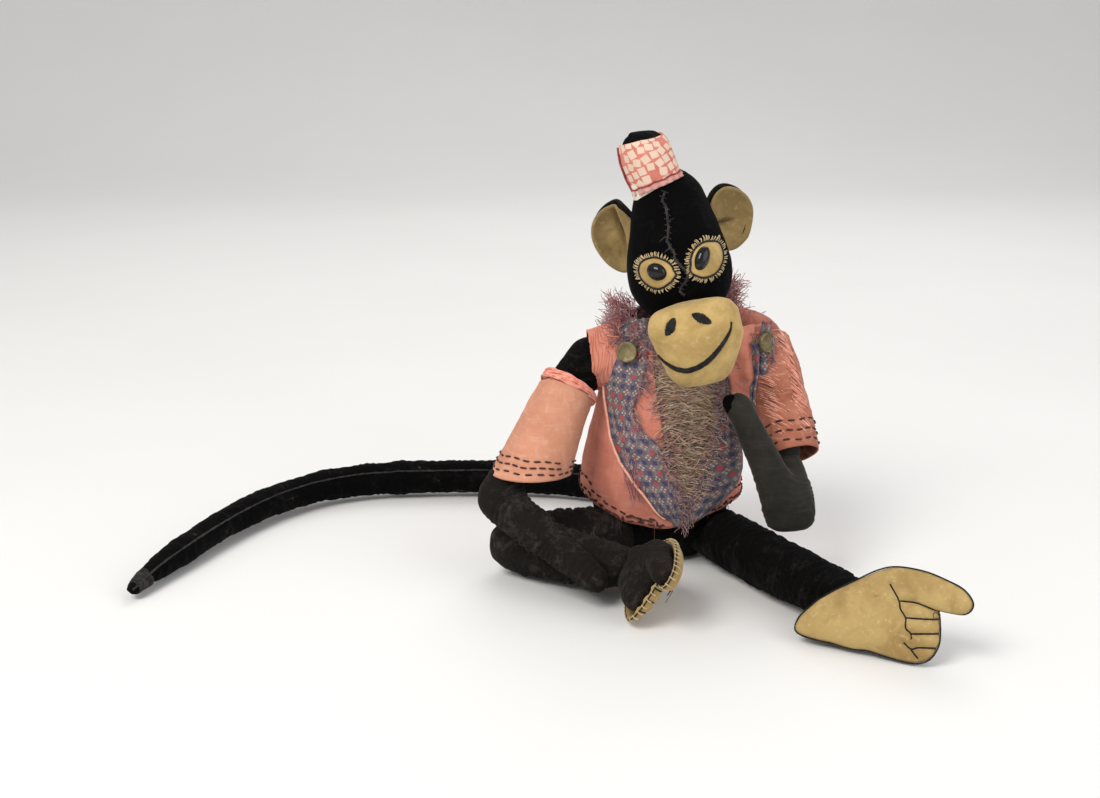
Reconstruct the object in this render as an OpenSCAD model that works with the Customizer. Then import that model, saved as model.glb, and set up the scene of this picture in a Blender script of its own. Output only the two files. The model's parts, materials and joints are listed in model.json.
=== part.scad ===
// Seated stuffed cloth monkey in a patched jacket.
// +Z is up, the seat rests on z = 0, the doll faces -Y, and its own right side is at -X.

/* [Body] */
// Radius of the stuffed belly
belly_r = 42; // [34:0.5:50]
// Height of the belly's centre
belly_z = 44; // [42:0.5:56]
// Radius of the round of the chest on each side
chest_r = 26; // [20:0.5:31]
// Height of the chest's centre
chest_z = 108; // [90:1:132]
// Half the distance between the two chest rounds
chest_half = 10; // [6:0.5:16]
// How far the chest leans to the doll's left
chest_lean = 6; // [0:0.5:12]
// Radius of the flat seat
seat_r = 32; // [26:0.5:38]
// Radius of the neck
neck_r = 13; // [9:0.5:16]
// Height of the neck above the chest rounds
neck_rise = 12; // [10:0.5:20]
// Thickness of the body and head cloth
cover_t = 1.5; // [1:0.1:2.5]

/* [Head] */
// Radius of the cheeks
cheek_r = 27; // [22:0.5:33]
// Radius of the crown
crown_r = 19; // [15:0.5:23]
// Height of the crown's centre above the neck
crown_rise = 53; // [44:1:64]
// Sideways tilt of the head
head_roll = 10; // [0:1:14]
// Depth of the muzzle in front of the neck
muzzle_reach = 66; // [64:1:74]
// Half width of the top of the muzzle, to the centre of its rounded corner
muzzle_half = 14.5; // [11:0.5:17]
// Diameter of a shoe-button eye
eye_d = 10; // [8:0.5:12]
// Height of an ear
ear_h = 38; // [30:1:46]
// Width of an ear
ear_w = 23; // [17:1:27]
// Radius of the hat
hat_r = 13.5; // [10:0.5:16]
// Height of the hat band
hat_h = 28; // [20:1:34]

/* [Jacket] */
// Room between the body and the jacket
jacket_ease = 1.8; // [1.6:0.1:4]
// Thickness of the jacket cloth
jacket_t = 1.4; // [0.8:0.1:2]
// Thickness of the lapels and the shirt front
trim_t = 1.3; // [0.8:0.1:1.5]
// Radius of the armholes
armhole_r = 22; // [19:0.5:27]
// Diameter of a brass button
button_d = 11.5; // [9:0.5:14]

/* [Arms] */
// Radius of the shoulder ball
arm_r = 14; // [11:0.5:16]
// Radius of the elbow ball
elbow_r = 11.5; // [9:0.5:12.5]
// Radius of the tip of the forearm
hand_r = 6.5; // [5:0.5:8]
// Length from shoulder to elbow
upper_arm_len = 96; // [86:1:104]
// Length from elbow to fingertip
forearm_len = 74; // [62:1:76]
// Radius of the right sleeve at the cuff
right_cuff_r = 21; // [18:0.5:24]
// Radius of the left sleeve at the cuff
left_cuff_r = 14.6; // [14:0.1:15]

/* [Legs] */
// Radius of a leg
leg_r = 16; // [12.5:0.5:17]
// Half the distance between the hips
hip_half = 27; // [24:0.5:30]
// Length from hip to knee
thigh_len = 60; // [54:1:68]
// Length from knee to ankle
shin_len = 60; // [52:1:68]
// Length of a foot from heel to toes
foot_len = 68; // [60:1:78]
// Width of a foot
foot_w = 42; // [38:1:48]
// Thickness of a foot
foot_t = 17; // [15:0.5:20]

/* [Tail] */
// Radius of the tail at its root
tail_r = 11.5; // [8:0.5:11.8]
// Radius of the tail at its tip
tail_tip_r = 5; // [3:0.5:7]

/* [Seated pose] */
// Right upper arm, degrees outward from straight ahead
right_arm_out = 42.8; // [30:0.1:60]
// Right upper arm, degrees below level
right_arm_drop = 41.8; // [35:0.1:50]
// Right forearm, degrees outward from straight ahead
right_forearm_out = -54; // [-70:0.5:-40]
// Right forearm, degrees below level
right_forearm_drop = 25.5; // [20:0.5:30]
// Left upper arm, degrees outward from straight ahead
left_arm_out = 9.4; // [4:0.1:20]
// Left upper arm, degrees below level
left_arm_drop = 47.3; // [40:0.1:55]
// Left forearm, degrees outward from straight ahead
left_forearm_out = -93; // [-100:0.5:-80]
// Left forearm, degrees below level
left_forearm_drop = -62; // [-66:0.5:-55]
// Right thigh, degrees outward from straight ahead
right_thigh_out = 67; // [55:1:75]
// Right shin, degrees outward from straight ahead
right_shin_out = -57; // [-65:1:-50]
// Left thigh, degrees outward from straight ahead
left_thigh_out = 28; // [20:1:40]
// Left shin, degrees outward from straight ahead
left_shin_out = 30; // [20:1:40]

/* [Hidden] */
$fn = 32;

gap = 0.3;              // room between soft pieces that move on each other
pin_gap = 0.05;         // running room of a pin in its hole
big = 400;              // size of the blocks that cut pieces away

// Body
seat_y = 8;             // the seat's centre is a little behind the origin
belly_y = 5;
seat_lift = 1;          // the round body begins this far above the flat seat
seat_step = 1.3;        // and this far outside its edge
neck_x = chest_lean + 2;
neck_y = -6;
neck_top = chest_z + chest_r + neck_rise;
head_bottom = neck_top + gap;

// Joints' hardware
pin_r = 1.5;
pin_head_r = 3.5;
pin_head_t = 1;
disc_r = 7;
disc_t = 1.5;
neck_disc_r = 6;
washer_r = 4;
washer_t = 0.8;
room = 0.3;             // room round a pin's ends

// Arms: the shoulder ball stands just off the side of the chest
shoulder_reach = chest_half + chest_r + arm_r + gap;
shoulder_z = chest_z + 4;
sleeve_t = 1.2;
right_sleeve_start = 34;
right_sleeve_end = 77;
left_sleeve_start = 17;
left_sleeve_end = 58;
sleeve_ease = 0.6;

// Legs lie on the ground in front of the seat
leg_z = leg_r + 1;
hip_y = -16;
sole_t = 1.5;
ankle_r = leg_r - 3;
toe_thread = 1;
hip_swing = 16;         // how far the left hip may turn in, for the room cut in the body

// Tail
tail_root = [0, belly_y + belly_r + 2, tail_r + 1];
kink = [-159, 94, tail_r + 1];
tail_sides = 16;
tail_ball_step = 1.5;    // how far the balls at its ends stand out of it

function unit(v) = v / norm(v);
// Direction of a limb: out is turned from straight ahead, drop is below level, side is -1 or 1
function limb_dir(side, out, drop) = [side * sin(out) * cos(drop), -cos(out) * cos(drop), -sin(drop)];
function shoulder(side) = [chest_lean + side * shoulder_reach, 0, shoulder_z];
function hip(side) = [side * hip_half, hip_y, leg_z];

arm_dir_r = limb_dir(-1, right_arm_out, right_arm_drop);
arm_dir_l = limb_dir(1, left_arm_out, left_arm_drop);
forearm_dir_r = limb_dir(-1, right_forearm_out, right_forearm_drop);
forearm_dir_l = limb_dir(1, left_forearm_out, left_forearm_drop);
elbow_at_r = shoulder(-1) + upper_arm_len * arm_dir_r;
elbow_at_l = shoulder(1) + upper_arm_len * arm_dir_l;
elbow_axis_r = unit(cross(arm_dir_r, forearm_dir_r));
elbow_axis_l = unit(cross(arm_dir_l, forearm_dir_l));

thigh_dir_r = limb_dir(-1, right_thigh_out, 0);
thigh_dir_l = limb_dir(1, left_thigh_out, 0);
shin_dir_r = limb_dir(-1, right_shin_out, 0);
shin_dir_l = limb_dir(1, left_shin_out, 0);
knee_at_r = hip(-1) + thigh_len * thigh_dir_r;
knee_at_l = hip(1) + thigh_len * thigh_dir_l;
ankle_at_r = knee_at_r + shin_len * shin_dir_r;
ankle_at_l = knee_at_l + shin_len * shin_dir_l;

// Half of the tightest inner angle at each bend
right_elbow_half = 30;
left_elbow_half = acos(-arm_dir_l * forearm_dir_l) / 2 - 0.5;
right_knee_half = acos(-thigh_dir_r * shin_dir_r) / 2 - 5;
left_knee_half = 62;

// Puts a limb's own frame in place: z runs along it, y is the hinge axis
module along(at, z, y) {
    x = cross(y, z);
    multmatrix([
        [x[0], y[0], z[0], at[0]],
        [x[1], y[1], z[1], at[1]],
        [x[2], y[2], z[2], at[2]],
        [0, 0, 0, 1]
    ]) children();
}

// ---------------------------------------------------------------- body

module torso_form(grow) {
    hull() {
        translate([0, seat_y, seat_lift - min(grow, 0)]) cylinder(r = seat_r + grow, h = 1);
        translate([0, belly_y, belly_z]) sphere(r = belly_r + grow);
        for (side = [-1, 1])
            translate([chest_lean + side * chest_half, 0, chest_z]) sphere(r = chest_r + grow);
    }
}

// Room for a leg and its swing inwards, under the overhang of the belly
module leg_room(side, rest_out, swing, grow) {
    r = leg_r + gap + grow;
    reach = belly_r + 2 * leg_r;
    translate([0, 0, -1]) linear_extrude(leg_z + r + 1) hull()
        for (out = [rest_out + 2, rest_out - swing / 2, rest_out - swing])
            for (far = [0, reach])
                translate([side * (hip_half + far * sin(out)), hip_y - far * cos(out)]) circle(r = r);
}

module torso_solid(grow) {
    difference() {
        union() {
            torso_form(grow);
            translate([0, seat_y, -min(grow, 0)]) cylinder(r = seat_r - seat_step + grow, h = seat_lift + 3);
            translate([neck_x, neck_y, chest_z]) cylinder(r = neck_r + grow, h = neck_top - chest_z + grow);
        }
        leg_room(-1, right_thigh_out, 2, -grow);
        leg_room(1, left_thigh_out, hip_swing, -grow);
        translate(tail_root) sphere(r = tail_r + gap - grow);
    }
}

// A shoulder's own frame: z runs outward along its pin from the body's surface
module at_shoulder(side) {
    translate([chest_lean + side * (chest_half + chest_r), 0, shoulder_z])
        rotate([0, side * 90, 0]) children();
}

module at_neck() {
    translate([neck_x, neck_y, neck_top]) children();
}

module at_body_joints() {
    at_neck() children();
    for (side = [-1, 1]) at_shoulder(side) children();
}

// Depths below the body's surface, along a pin
disc_depth = cover_t + 4;
washer_depth = disc_depth + disc_t;
pin_end_depth = washer_depth + washer_t + room;

module torso_cover() {
    color([0.05, 0.045, 0.05]) difference() {
        torso_solid(0);
        torso_solid(-cover_t);
        at_body_joints() translate([0, 0, -3 * cover_t]) cylinder(r = pin_r + pin_gap, h = 6 * cover_t);
    }
}

module torso_stuffing() {
    color([0.85, 0.8, 0.68]) difference() {
        torso_solid(-cover_t);
        at_body_joints() {
            translate([0, 0, -washer_depth]) cylinder(r = disc_r, h = disc_t);
            translate([0, 0, -washer_depth - washer_t]) cylinder(r = washer_r, h = washer_t);
            translate([0, 0, -pin_end_depth - pin_head_t - room])
                cylinder(r = pin_head_r + room, h = pin_head_t + 2 * room);
            translate([0, 0, -disc_depth]) cylinder(r = pin_r + pin_gap, h = disc_depth);
        }
    }
}

module body_joint_discs() {
    color([0.6, 0.45, 0.28]) at_body_joints() difference() {
        translate([0, 0, -washer_depth]) cylinder(r = disc_r, h = disc_t);
        translate([0, 0, -washer_depth - 1]) cylinder(r = pin_r + pin_gap, h = disc_t + 2);
    }
}

module body_joint_washers() {
    color([0.6, 0.6, 0.58]) at_body_joints() difference() {
        translate([0, 0, -washer_depth - washer_t]) cylinder(r = washer_r, h = washer_t);
        translate([0, 0, -washer_depth - washer_t - 1]) cylinder(r = pin_r + pin_gap, h = washer_t + 2);
    }
}

// A pin from its head inside the moving part to its spread end inside the body
module joint_pin(head_height) {
    cylinder_from(-pin_end_depth - pin_head_t, -pin_end_depth, pin_head_r);
    cylinder_from(-pin_end_depth, head_height, pin_r);
    cylinder_from(head_height, head_height + pin_head_t, pin_head_r);
}

module cylinder_from(low, high, r) {
    translate([0, 0, low]) cylinder(r = r, h = high - low);
}

// ---------------------------------------------------------------- jacket

hem_z = leg_z + leg_r + gap + 0.9;
neckline_r = neck_r + 6;
front_edge = 8;         // the fronts meet left of the middle, where the belly turns

module jacket_form(grow) {
    hull() {
        translate([0, belly_y, belly_z]) sphere(r = belly_r + jacket_ease + grow);
        for (side = [-1, 1])
            translate([chest_lean + side * chest_half, 0, chest_z])
                sphere(r = chest_r + jacket_ease + grow);
    }
}

// One layer of cloth over the body, between two heights of nap
module jacket_layer(low, high) {
    difference() {
        jacket_form(high);
        jacket_form(low);
        translate([-big / 2, -big / 2, hem_z - big]) cube(big);
        translate([neck_x, neck_y, chest_z]) cylinder(r = neckline_r, h = big);
        for (side = [-1, 1]) at_shoulder(side)
            translate([0, 0, -chest_r]) cylinder(r = armhole_r, h = big);
    }
}

module jacket_back() {
    color([0.86, 0.5, 0.42]) difference() {
        jacket_layer(0, jacket_t);
        translate([-big / 2, belly_y - big, -big / 2]) cube(big);
    }
}

// Outline of the opening at the front, seen from ahead
module front_opening() {
    polygon([[-12, 150], [-7, 104], [2, 62], [front_edge, hem_z - 1], [front_edge + 3, hem_z - 1],
        [15, 66], [22, 104], [26, 150]]);
}

module forward(depth) {
    rotate([90, 0, 0]) linear_extrude(depth) children();
}

module jacket_front(side) {
    intersection() {
        difference() {
            jacket_layer(0, jacket_t);
            forward(big) front_opening();
        }
        translate([side > 0 ? front_edge + 1.5 : front_edge + 1.5 - big, belly_y - big, 0]) cube(big);
    }
}

module jacket_front_right() { color([0.86, 0.5, 0.42]) jacket_front(-1); }
module jacket_front_left() { color([0.83, 0.46, 0.4]) jacket_front(1); }

module lapel_right() {
    color([0.36, 0.36, 0.45]) intersection() {
        jacket_layer(jacket_t, jacket_t + trim_t);
        forward(big) difference() {
            polygon([[-22, 150], [-20, 112], [-17, 92], [-11, 66], [-2, 44],
                [front_edge, hem_z], [front_edge, 150]]);
            front_opening();
        }
    }
}

module lapel_left() {
    color([0.36, 0.36, 0.45]) intersection() {
        jacket_layer(jacket_t, jacket_t + trim_t);
        forward(big) difference() {
            polygon([[front_edge + 3, 150], [front_edge + 3, hem_z], [24, 52],
                [29, 76], [31, 96], [30, 112], [29, 150]]);
            front_opening();
        }
    }
}

module shirt_front() {
    color([0.72, 0.66, 0.52]) intersection() {
        difference() {
            torso_form(trim_t);
            torso_form(0);
        }
        forward(big) intersection() {
            offset(delta = -1) front_opening();
            translate([-30, 52]) square([80, 72]);
        }
    }
}

collar_r = 34;
collar_bottom = chest_z + 4;
collar_wall = 5;

module collar_fringe() {
    color([0.55, 0.35, 0.42]) difference() {
        translate([neck_x, neck_y + 4, 0]) difference() {
            cylinder_from(collar_bottom, head_bottom - 1, collar_r);
            cylinder_from(collar_bottom - 1, big, collar_r - collar_wall);
        }
        jacket_form(jacket_t + trim_t);
        button_rods(gap);
        translate([-big / 2, neck_y - 14 - big, 0]) cube(big);
        for (side = [-1, 1]) at_shoulder(side)
            translate([0, 0, -chest_r]) cylinder(r = armhole_r - 4, h = big);
    }
}

button_t = 2.5;

module button_rods(grow) {
    for (spot = [[[-20, -21, 118], -28], [[33, -19, 120], 32]])
        translate(spot[0]) rotate([68, 0, spot[1]]) cylinder(r = button_d / 2 + grow, h = 14);
}

module brass_buttons() {
    color([0.45, 0.42, 0.25]) difference() {
        button_rods(0);
        jacket_form(jacket_t + trim_t);
        difference() {
            translate([-big / 2, -big / 2, -big / 2]) cube(big);
            jacket_form(jacket_t + trim_t + button_t);
        }
    }
}

stitch_t = 0.6;
stitch_w = 0.9;

module hem_stitching() {
    color([0.2, 0.12, 0.1]) intersection() {
        jacket_layer(jacket_t, jacket_t + stitch_t);
        for (row = [0:2]) translate([-big / 2, -big / 2, hem_z + 4 + 4 * row]) cube([big, big, stitch_w]);
        difference() {
            translate([-big / 2, -big / 2, 0]) cube(big);
            forward(big) translate([-8, 0]) square([34, 80]);
        }
    }
}

// ---------------------------------------------------------------- head

// The head's own frame: origin on top of the neck, leaning to the doll's right
module in_head() {
    translate([neck_x + 1, neck_y, neck_top]) rotate([0, -head_roll, 0]) children();
}

module head_form(grow) {
    in_head() hull() {
        translate([0, -11, crown_rise]) sphere(r = crown_r + grow);
        translate([0, -cheek_r, cheek_r + 3]) sphere(r = cheek_r - 1 + grow);
        translate([0, -cheek_r, cheek_r - 5]) sphere(r = cheek_r + grow);
        translate([0, -6, cheek_r - 8]) sphere(r = cheek_r - 3 + grow);
    }
}

module head_solid(grow) {
    difference() {
        head_form(grow);
        translate([-big / 2, -big / 2, head_bottom - min(grow, 0) - big]) cube(big);
    }
}

module head_cover() {
    color([0.04, 0.035, 0.04]) difference() {
        head_solid(0);
        head_solid(-cover_t);
        at_neck() cylinder(r = pin_r, h = 2 * cover_t);
    }
}

neck_disc_height = gap + cover_t + 0.5;

module head_stuffing() {
    color([0.85, 0.8, 0.68]) difference() {
        head_solid(-cover_t);
        at_neck() {
            cylinder(r = pin_r, h = neck_disc_height);
            cylinder_from(neck_disc_height, neck_disc_height + disc_t, neck_disc_r);
            cylinder_from(neck_disc_height + disc_t, neck_disc_height + disc_t + pin_head_t, pin_head_r);
        }
    }
}

module neck_disc() {
    color([0.6, 0.45, 0.28]) at_neck() difference() {
        cylinder_from(neck_disc_height, neck_disc_height + disc_t, neck_disc_r);
        cylinder(r = pin_r, h = 2 * cover_t + disc_t + gap + 1);
    }
}

module neck_pin() {
    color([0.6, 0.6, 0.58]) at_neck() joint_pin(neck_disc_height + disc_t);
}

module muzzle_form(grow) {
    in_head() hull() {
        for (side = [-1, 1]) {
            translate([side * muzzle_half, -muzzle_reach, 2]) sphere(r = 10 + grow);
            translate([side * muzzle_half * 0.4, 4 - muzzle_reach, -20]) sphere(r = 12 + grow);
        }
        translate([0, -muzzle_reach, -8]) sphere(r = 14 + grow);
        translate([0, -48, -4]) sphere(r = 16 + grow);
    }
}

module muzzle() {
    color([0.66, 0.52, 0.3]) difference() {
        muzzle_form(0);
        head_solid(0);
    }
}

thread_t = 0.8;
nostril_x = 8.5;
nostril_len = 7;
nostril_w = 3.6;

module face_embroidery() {
    color([0.05, 0.05, 0.05]) intersection() {
        difference() {
            muzzle_form(thread_t);
            muzzle_form(0);
            head_solid(1);
        }
        in_head() forward(big) {
            for (side = [-1, 1]) translate([side * nostril_x, -1]) rotate(side * 28)
                square([nostril_len, nostril_w], center = true);
            difference() {
                translate([0, 9]) circle(r = 30);
                translate([0, 12]) circle(r = 30.6);
                translate([-40, -8]) square([80, 60]);
            }
        }
    }
}

eye_x = 12.7;
eye_z = 32;
eye_stitch_len = 2.6;

// Pushes an outline on the face through the front half of the head
module in_face() {
    in_head() translate([0, -crown_r, 0]) forward(big) children();
}

// The raised seam wanders down the middle of the face
module seam_outline() {
    polygon([[-1, 68], [1, 68], [0.5, 52], [2.5, 44], [1, 34], [3, 26], [2, 16], [0, 16],
        [1, 26], [-1, 34], [0.5, 44], [-1.5, 52]]);
}

// Teardrop of an eye patch, its point towards the nose, in the head's frame seen from ahead
module eye_outline(side, size) {
    translate([side * eye_x, eye_z]) hull() {
        circle(r = size);
        translate([-side * 6.5, -6]) circle(r = size * 0.3);
    }
}

module eye_patch(side, size) {
    intersection() {
        difference() {
            head_form(1.2);
            head_form(0);
        }
        in_face() eye_outline(side, size);
    }
}

eye_patch_r_size = 8;
eye_patch_l_size = 9;

module eye_patch_right() { color([0.68, 0.55, 0.33]) eye_patch(-1, eye_patch_r_size); }
module eye_patch_left() { color([0.68, 0.55, 0.33]) eye_patch(1, eye_patch_l_size); }

module eye_stitching() {
    color([0.85, 0.78, 0.58]) intersection() {
        difference() {
            head_form(0.8);
            head_form(0);
        }
        in_face() difference() {
            for (eye = [[-1, eye_patch_r_size], [1, eye_patch_l_size]]) difference() {
                eye_outline(eye[0], eye[1] + eye_stitch_len);
                eye_outline(eye[0], eye[1] + 0.6);
            }
            seam_outline();
        }
    }
}

module eye_buttons() {
    color([0.02, 0.02, 0.02]) intersection() {
        difference() {
            head_form(4);
            head_form(1.2);
        }
        in_face() for (side = [-1, 1]) translate([side * eye_x, eye_z - 0.5]) circle(r = eye_d / 2 - 0.6);
    }
}

module head_seam() {
    color([0.3, 0.28, 0.28]) intersection() {
        difference() {
            head_form(1);
            head_form(0);
            at_hat() cylinder(r = hat_r, h = hat_h);
        }
        in_face() seam_outline();
    }
}

// An ear's own frame: flat oval facing forward, centred on the ear
module at_ear(side) {
    in_head() translate([side * (crown_r + 11), -8, 42]) rotate([0, side * 12, side * 18]) children();
}

module ear_oval(front, back) {
    rotate([90, 0, 0]) translate([0, 0, front]) scale([ear_w / ear_h, 1, 1])
        cylinder(r = ear_h / 2, h = back - front);
}

module ear_front(side) {
    difference() {
        at_ear(side) ear_oval(0, 1.6);
        head_form(0);
    }
}

module ear_back(side) {
    difference() {
        at_ear(side) ear_oval(-2.4, 0);
        head_form(0);
    }
}

module ear_front_right() { color([0.66, 0.52, 0.3]) ear_front(-1); }
module ear_back_right() { color([0.06, 0.045, 0.045]) ear_back(-1); }
module ear_front_left() { color([0.66, 0.52, 0.3]) ear_front(1); }
module ear_back_left() { color([0.06, 0.045, 0.045]) ear_back(1); }

hat_wall = 1.2;
hat_seat = crown_rise + 11;     // height in the head's frame where the hat's rim sits

module at_hat() {
    in_head() translate([-5.4, -14, hat_seat]) rotate([-3, -7, 0]) children();
}

module hat_band() {
    color([0.87, 0.52, 0.48]) difference() {
        at_hat() difference() {
            cylinder(r = hat_r, h = hat_h);
            translate([0, 0, -1]) cylinder(r = hat_r - hat_wall, h = hat_h + 2);
        }
        head_form(0);
    }
}

module hat_crown() {
    color([0.04, 0.035, 0.04]) at_hat() translate([0, 0, hat_h])
        rotate_extrude() polygon([[0, -2], [hat_r - hat_wall, -2], [hat_r - hat_wall, 0],
            [hat_r * 0.7, 2], [hat_r * 0.35, 3], [0, 3.4]]);
}

module hat_stuffing() {
    color([0.85, 0.8, 0.68]) difference() {
        at_hat() cylinder(r = hat_r - hat_wall, h = hat_h - 2);
        head_form(0);
    }
}

// ---------------------------------------------------------------- limbs

// A stuffed tube along z from a joint, cut on its inner side so that the next piece can fold against it
module tube(r_start, r_end, len, half, tip_r) {
    difference() {
        union() {
            cylinder(r1 = r_start, r2 = r_end, h = len);
            if (tip_r > 0) translate([0, 0, len]) sphere(r = tip_r);
        }
        rotate([0, half, 0]) translate([-gap / 2, -big / 2, -big / 2]) cube(big);
    }
}

shoulder_disc_at = gap + 3;     // from the body's surface out to the disc in the arm

module upper_arm(side, at, dir, elbow_at, axis, half) {
    difference() {
        union() {
            translate(at) sphere(r = arm_r);
            along(elbow_at, -dir, -axis) tube(elbow_r - 0.5, arm_r - 0.5, upper_arm_len, half, 0);
            translate(elbow_at) sphere(r = elbow_r);
        }
        at_shoulder(side) {
            cylinder(r = pin_r, h = shoulder_disc_at);
            cylinder_from(shoulder_disc_at, shoulder_disc_at + disc_t, disc_r - 1);
            cylinder_from(shoulder_disc_at + disc_t, shoulder_disc_at + disc_t + pin_head_t, pin_head_r);
        }
    }
}

module shoulder_disc(side) {
    color([0.6, 0.45, 0.28]) at_shoulder(side) difference() {
        cylinder_from(shoulder_disc_at, shoulder_disc_at + disc_t, disc_r - 1);
        cylinder(r = pin_r, h = shoulder_disc_at + disc_t + 1);
    }
}

module shoulder_pin(side) {
    color([0.6, 0.6, 0.58]) at_shoulder(side) joint_pin(shoulder_disc_at + disc_t);
}

module forearm(elbow_at, dir, axis, half) {
    difference() {
        along(elbow_at, dir, axis) tube(elbow_r - 1.5, hand_r, forearm_len - hand_r, half, hand_r);
        translate(elbow_at) sphere(r = elbow_r + gap);
    }
}

// A sleeve round the upper arm, from one distance below the shoulder to another
module sleeve(from, to, top_r, cuff_r) {
    rotate_extrude()
        polygon([[top_r - sleeve_t, from], [top_r, from], [cuff_r, to], [cuff_r - sleeve_t, to]]);
}

module cuff_rows(from, to, top_r, cuff_r) {
    for (row = [0:2]) {
        z = to - 4 - 4 * row;
        r = cuff_r - (cuff_r - top_r) * (to - z) / (to - from);
        slope = (cuff_r - top_r) / (to - from) * stitch_w;
        rotate_extrude() polygon([[r, z], [r + stitch_t, z],
            [r + slope + stitch_t, z + stitch_w], [r + slope, z + stitch_w]]);
    }
}

module upper_arm_right() {
    color([0.05, 0.045, 0.05])
        upper_arm(-1, shoulder(-1), arm_dir_r, elbow_at_r, elbow_axis_r, right_elbow_half);
}
module upper_arm_left() {
    color([0.16, 0.16, 0.15])
        upper_arm(1, shoulder(1), arm_dir_l, elbow_at_l, elbow_axis_l, left_elbow_half);
}
module forearm_right() {
    color([0.09, 0.08, 0.075]) forearm(elbow_at_r, forearm_dir_r, elbow_axis_r, right_elbow_half);
}
module forearm_left() {
    color([0.16, 0.16, 0.15]) forearm(elbow_at_l, forearm_dir_l, elbow_axis_l, left_elbow_half);
}

right_sleeve_top_r = arm_r + sleeve_t + sleeve_ease;
left_sleeve_top_r = left_cuff_r;

module sleeve_right() {
    color([0.9, 0.58, 0.46]) along(shoulder(-1), arm_dir_r, elbow_axis_r)
        sleeve(right_sleeve_start, right_sleeve_end, right_sleeve_top_r, right_cuff_r);
}
module sleeve_left() {
    color([0.83, 0.48, 0.4]) along(shoulder(1), arm_dir_l, elbow_axis_l)
        sleeve(left_sleeve_start, left_sleeve_end, left_sleeve_top_r, left_cuff_r);
}
module cuff_stitching_right() {
    color([0.2, 0.12, 0.1]) along(shoulder(-1), arm_dir_r, elbow_axis_r)
        cuff_rows(right_sleeve_start, right_sleeve_end, right_sleeve_top_r, right_cuff_r);
}
module cuff_stitching_left() {
    color([0.2, 0.12, 0.1]) along(shoulder(1), arm_dir_l, elbow_axis_l)
        cuff_rows(left_sleeve_start, left_sleeve_end, left_sleeve_top_r, left_cuff_r);
}
module shoulder_disc_right() { shoulder_disc(-1); }
module shoulder_disc_left() { shoulder_disc(1); }
module shoulder_pin_right() { shoulder_pin(-1); }
module shoulder_pin_left() { shoulder_pin(1); }

// ---------------------------------------------------------------- legs and feet

up = [0, 0, 1];

// A foot's own frame: origin at the heel, x to the toes, y across to the big toe, z out of the sole
module foot_frame(at, toe, sole, side) {
    z = unit(sole);
    x = unit(toe - (toe * z) * z);
    y = side * cross(z, x);
    multmatrix([
        [x[0], y[0], z[0], at[0]],
        [x[1], y[1], z[1], at[1]],
        [x[2], y[2], z[2], at[2]],
        [0, 0, 0, 1]
    ]) children();
}

// The right foot lies on its outer edge with its toes ahead, the left one turns its sole ahead
module at_foot_right() {
    foot_frame([-19.5, -52, 0.6], [0.05, -1, 0], [0.83, 0, -0.55], -1) children();
}
module at_foot_left() {
    foot_frame([56, -135, 6.6], [62, -32, -3], [-0.42, -0.84, 0.25], 1) children();
}

// Outline of a foot seen from below: heel, ball, four small toes and the long big toe
module foot_outline() {
    hull() {
        translate([foot_w * 0.3, foot_w * 0.3]) circle(r = foot_w * 0.3);
        translate([foot_len * 0.7, foot_w * 0.42]) circle(r = foot_w * 0.42);
        translate([foot_len - foot_w * 0.2, foot_w * 0.22]) circle(r = foot_w * 0.2);
        translate([foot_len - foot_w * 0.2, foot_w * 0.5]) circle(r = foot_w * 0.2);
    }
    hull() {
        translate([foot_len * 0.68, foot_w * 0.76]) circle(r = foot_w * 0.24);
        translate([foot_len + foot_w * 0.06, foot_w * 0.8]) circle(r = foot_w * 0.18);
    }
}

// The stuffed uppers, with a hole where the shin is sewn in
module foot_upper_shape() { translate([0, 0, -foot_t]) linear_extrude(foot_t - sole_t) foot_outline(); }
module foot_upper_right() {
    color([0.06, 0.05, 0.05]) difference() {
        at_foot_right() foot_upper_shape();
        shin_tube(knee_at_r, shin_dir_r, up, 90);
    }
}
module foot_upper_left() {
    color([0.06, 0.05, 0.05]) difference() {
        at_foot_left() foot_upper_shape();
        shin_tube(knee_at_l, shin_dir_l, -up, 90);
    }
}

module foot_sole_shape() { translate([0, 0, -sole_t]) linear_extrude(sole_t) foot_outline(); }
module foot_sole_right() { color([0.68, 0.54, 0.32]) at_foot_right() foot_sole_shape(); }
module foot_sole_left() { color([0.68, 0.54, 0.32]) at_foot_left() foot_sole_shape(); }

module toe_lines() {
    for (toe = [0:3]) translate([foot_len * 0.72 + toe, foot_w * (0.14 + 0.135 * toe), 0])
        cube([foot_len * 0.2, toe_thread, toe_thread]);
}
module toe_stitching_right() { color([0.05, 0.04, 0.04]) at_foot_right() toe_lines(); }
module toe_stitching_left() { color([0.05, 0.04, 0.04]) at_foot_left() toe_lines(); }

module thigh(hip_at, knee_at, dir, axis, half) {
    union() {
        translate(hip_at) sphere(r = leg_r);
        along(knee_at, -dir, -axis) tube(leg_r - 1, leg_r - 1.2, thigh_len, half, 0);
        translate(knee_at) sphere(r = leg_r);
    }
}

// The straight tube of a shin, which narrows to the ankle
module shin_tube(knee_at, dir, axis, half) {
    along(knee_at, dir, axis) tube(leg_r - 1.5, ankle_r - 0.5, shin_len + foot_t, half, 0);
}

// A shin from its knee to just short of the sole that its foot module places
module shin(knee_at, dir, axis, half) {
    difference() {
        shin_tube(knee_at, dir, axis, half);
        translate(knee_at) sphere(r = leg_r + gap);
        children();
    }
}
module sole_side() { translate([-big / 2, -big / 2, -sole_t]) cube(big); }
module leg_tube_right() { shin(knee_at_r, shin_dir_r, up, right_knee_half) at_foot_right() sole_side(); }
module leg_tube_left() { shin(knee_at_l, shin_dir_l, -up, left_knee_half) at_foot_left() sole_side(); }

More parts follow.
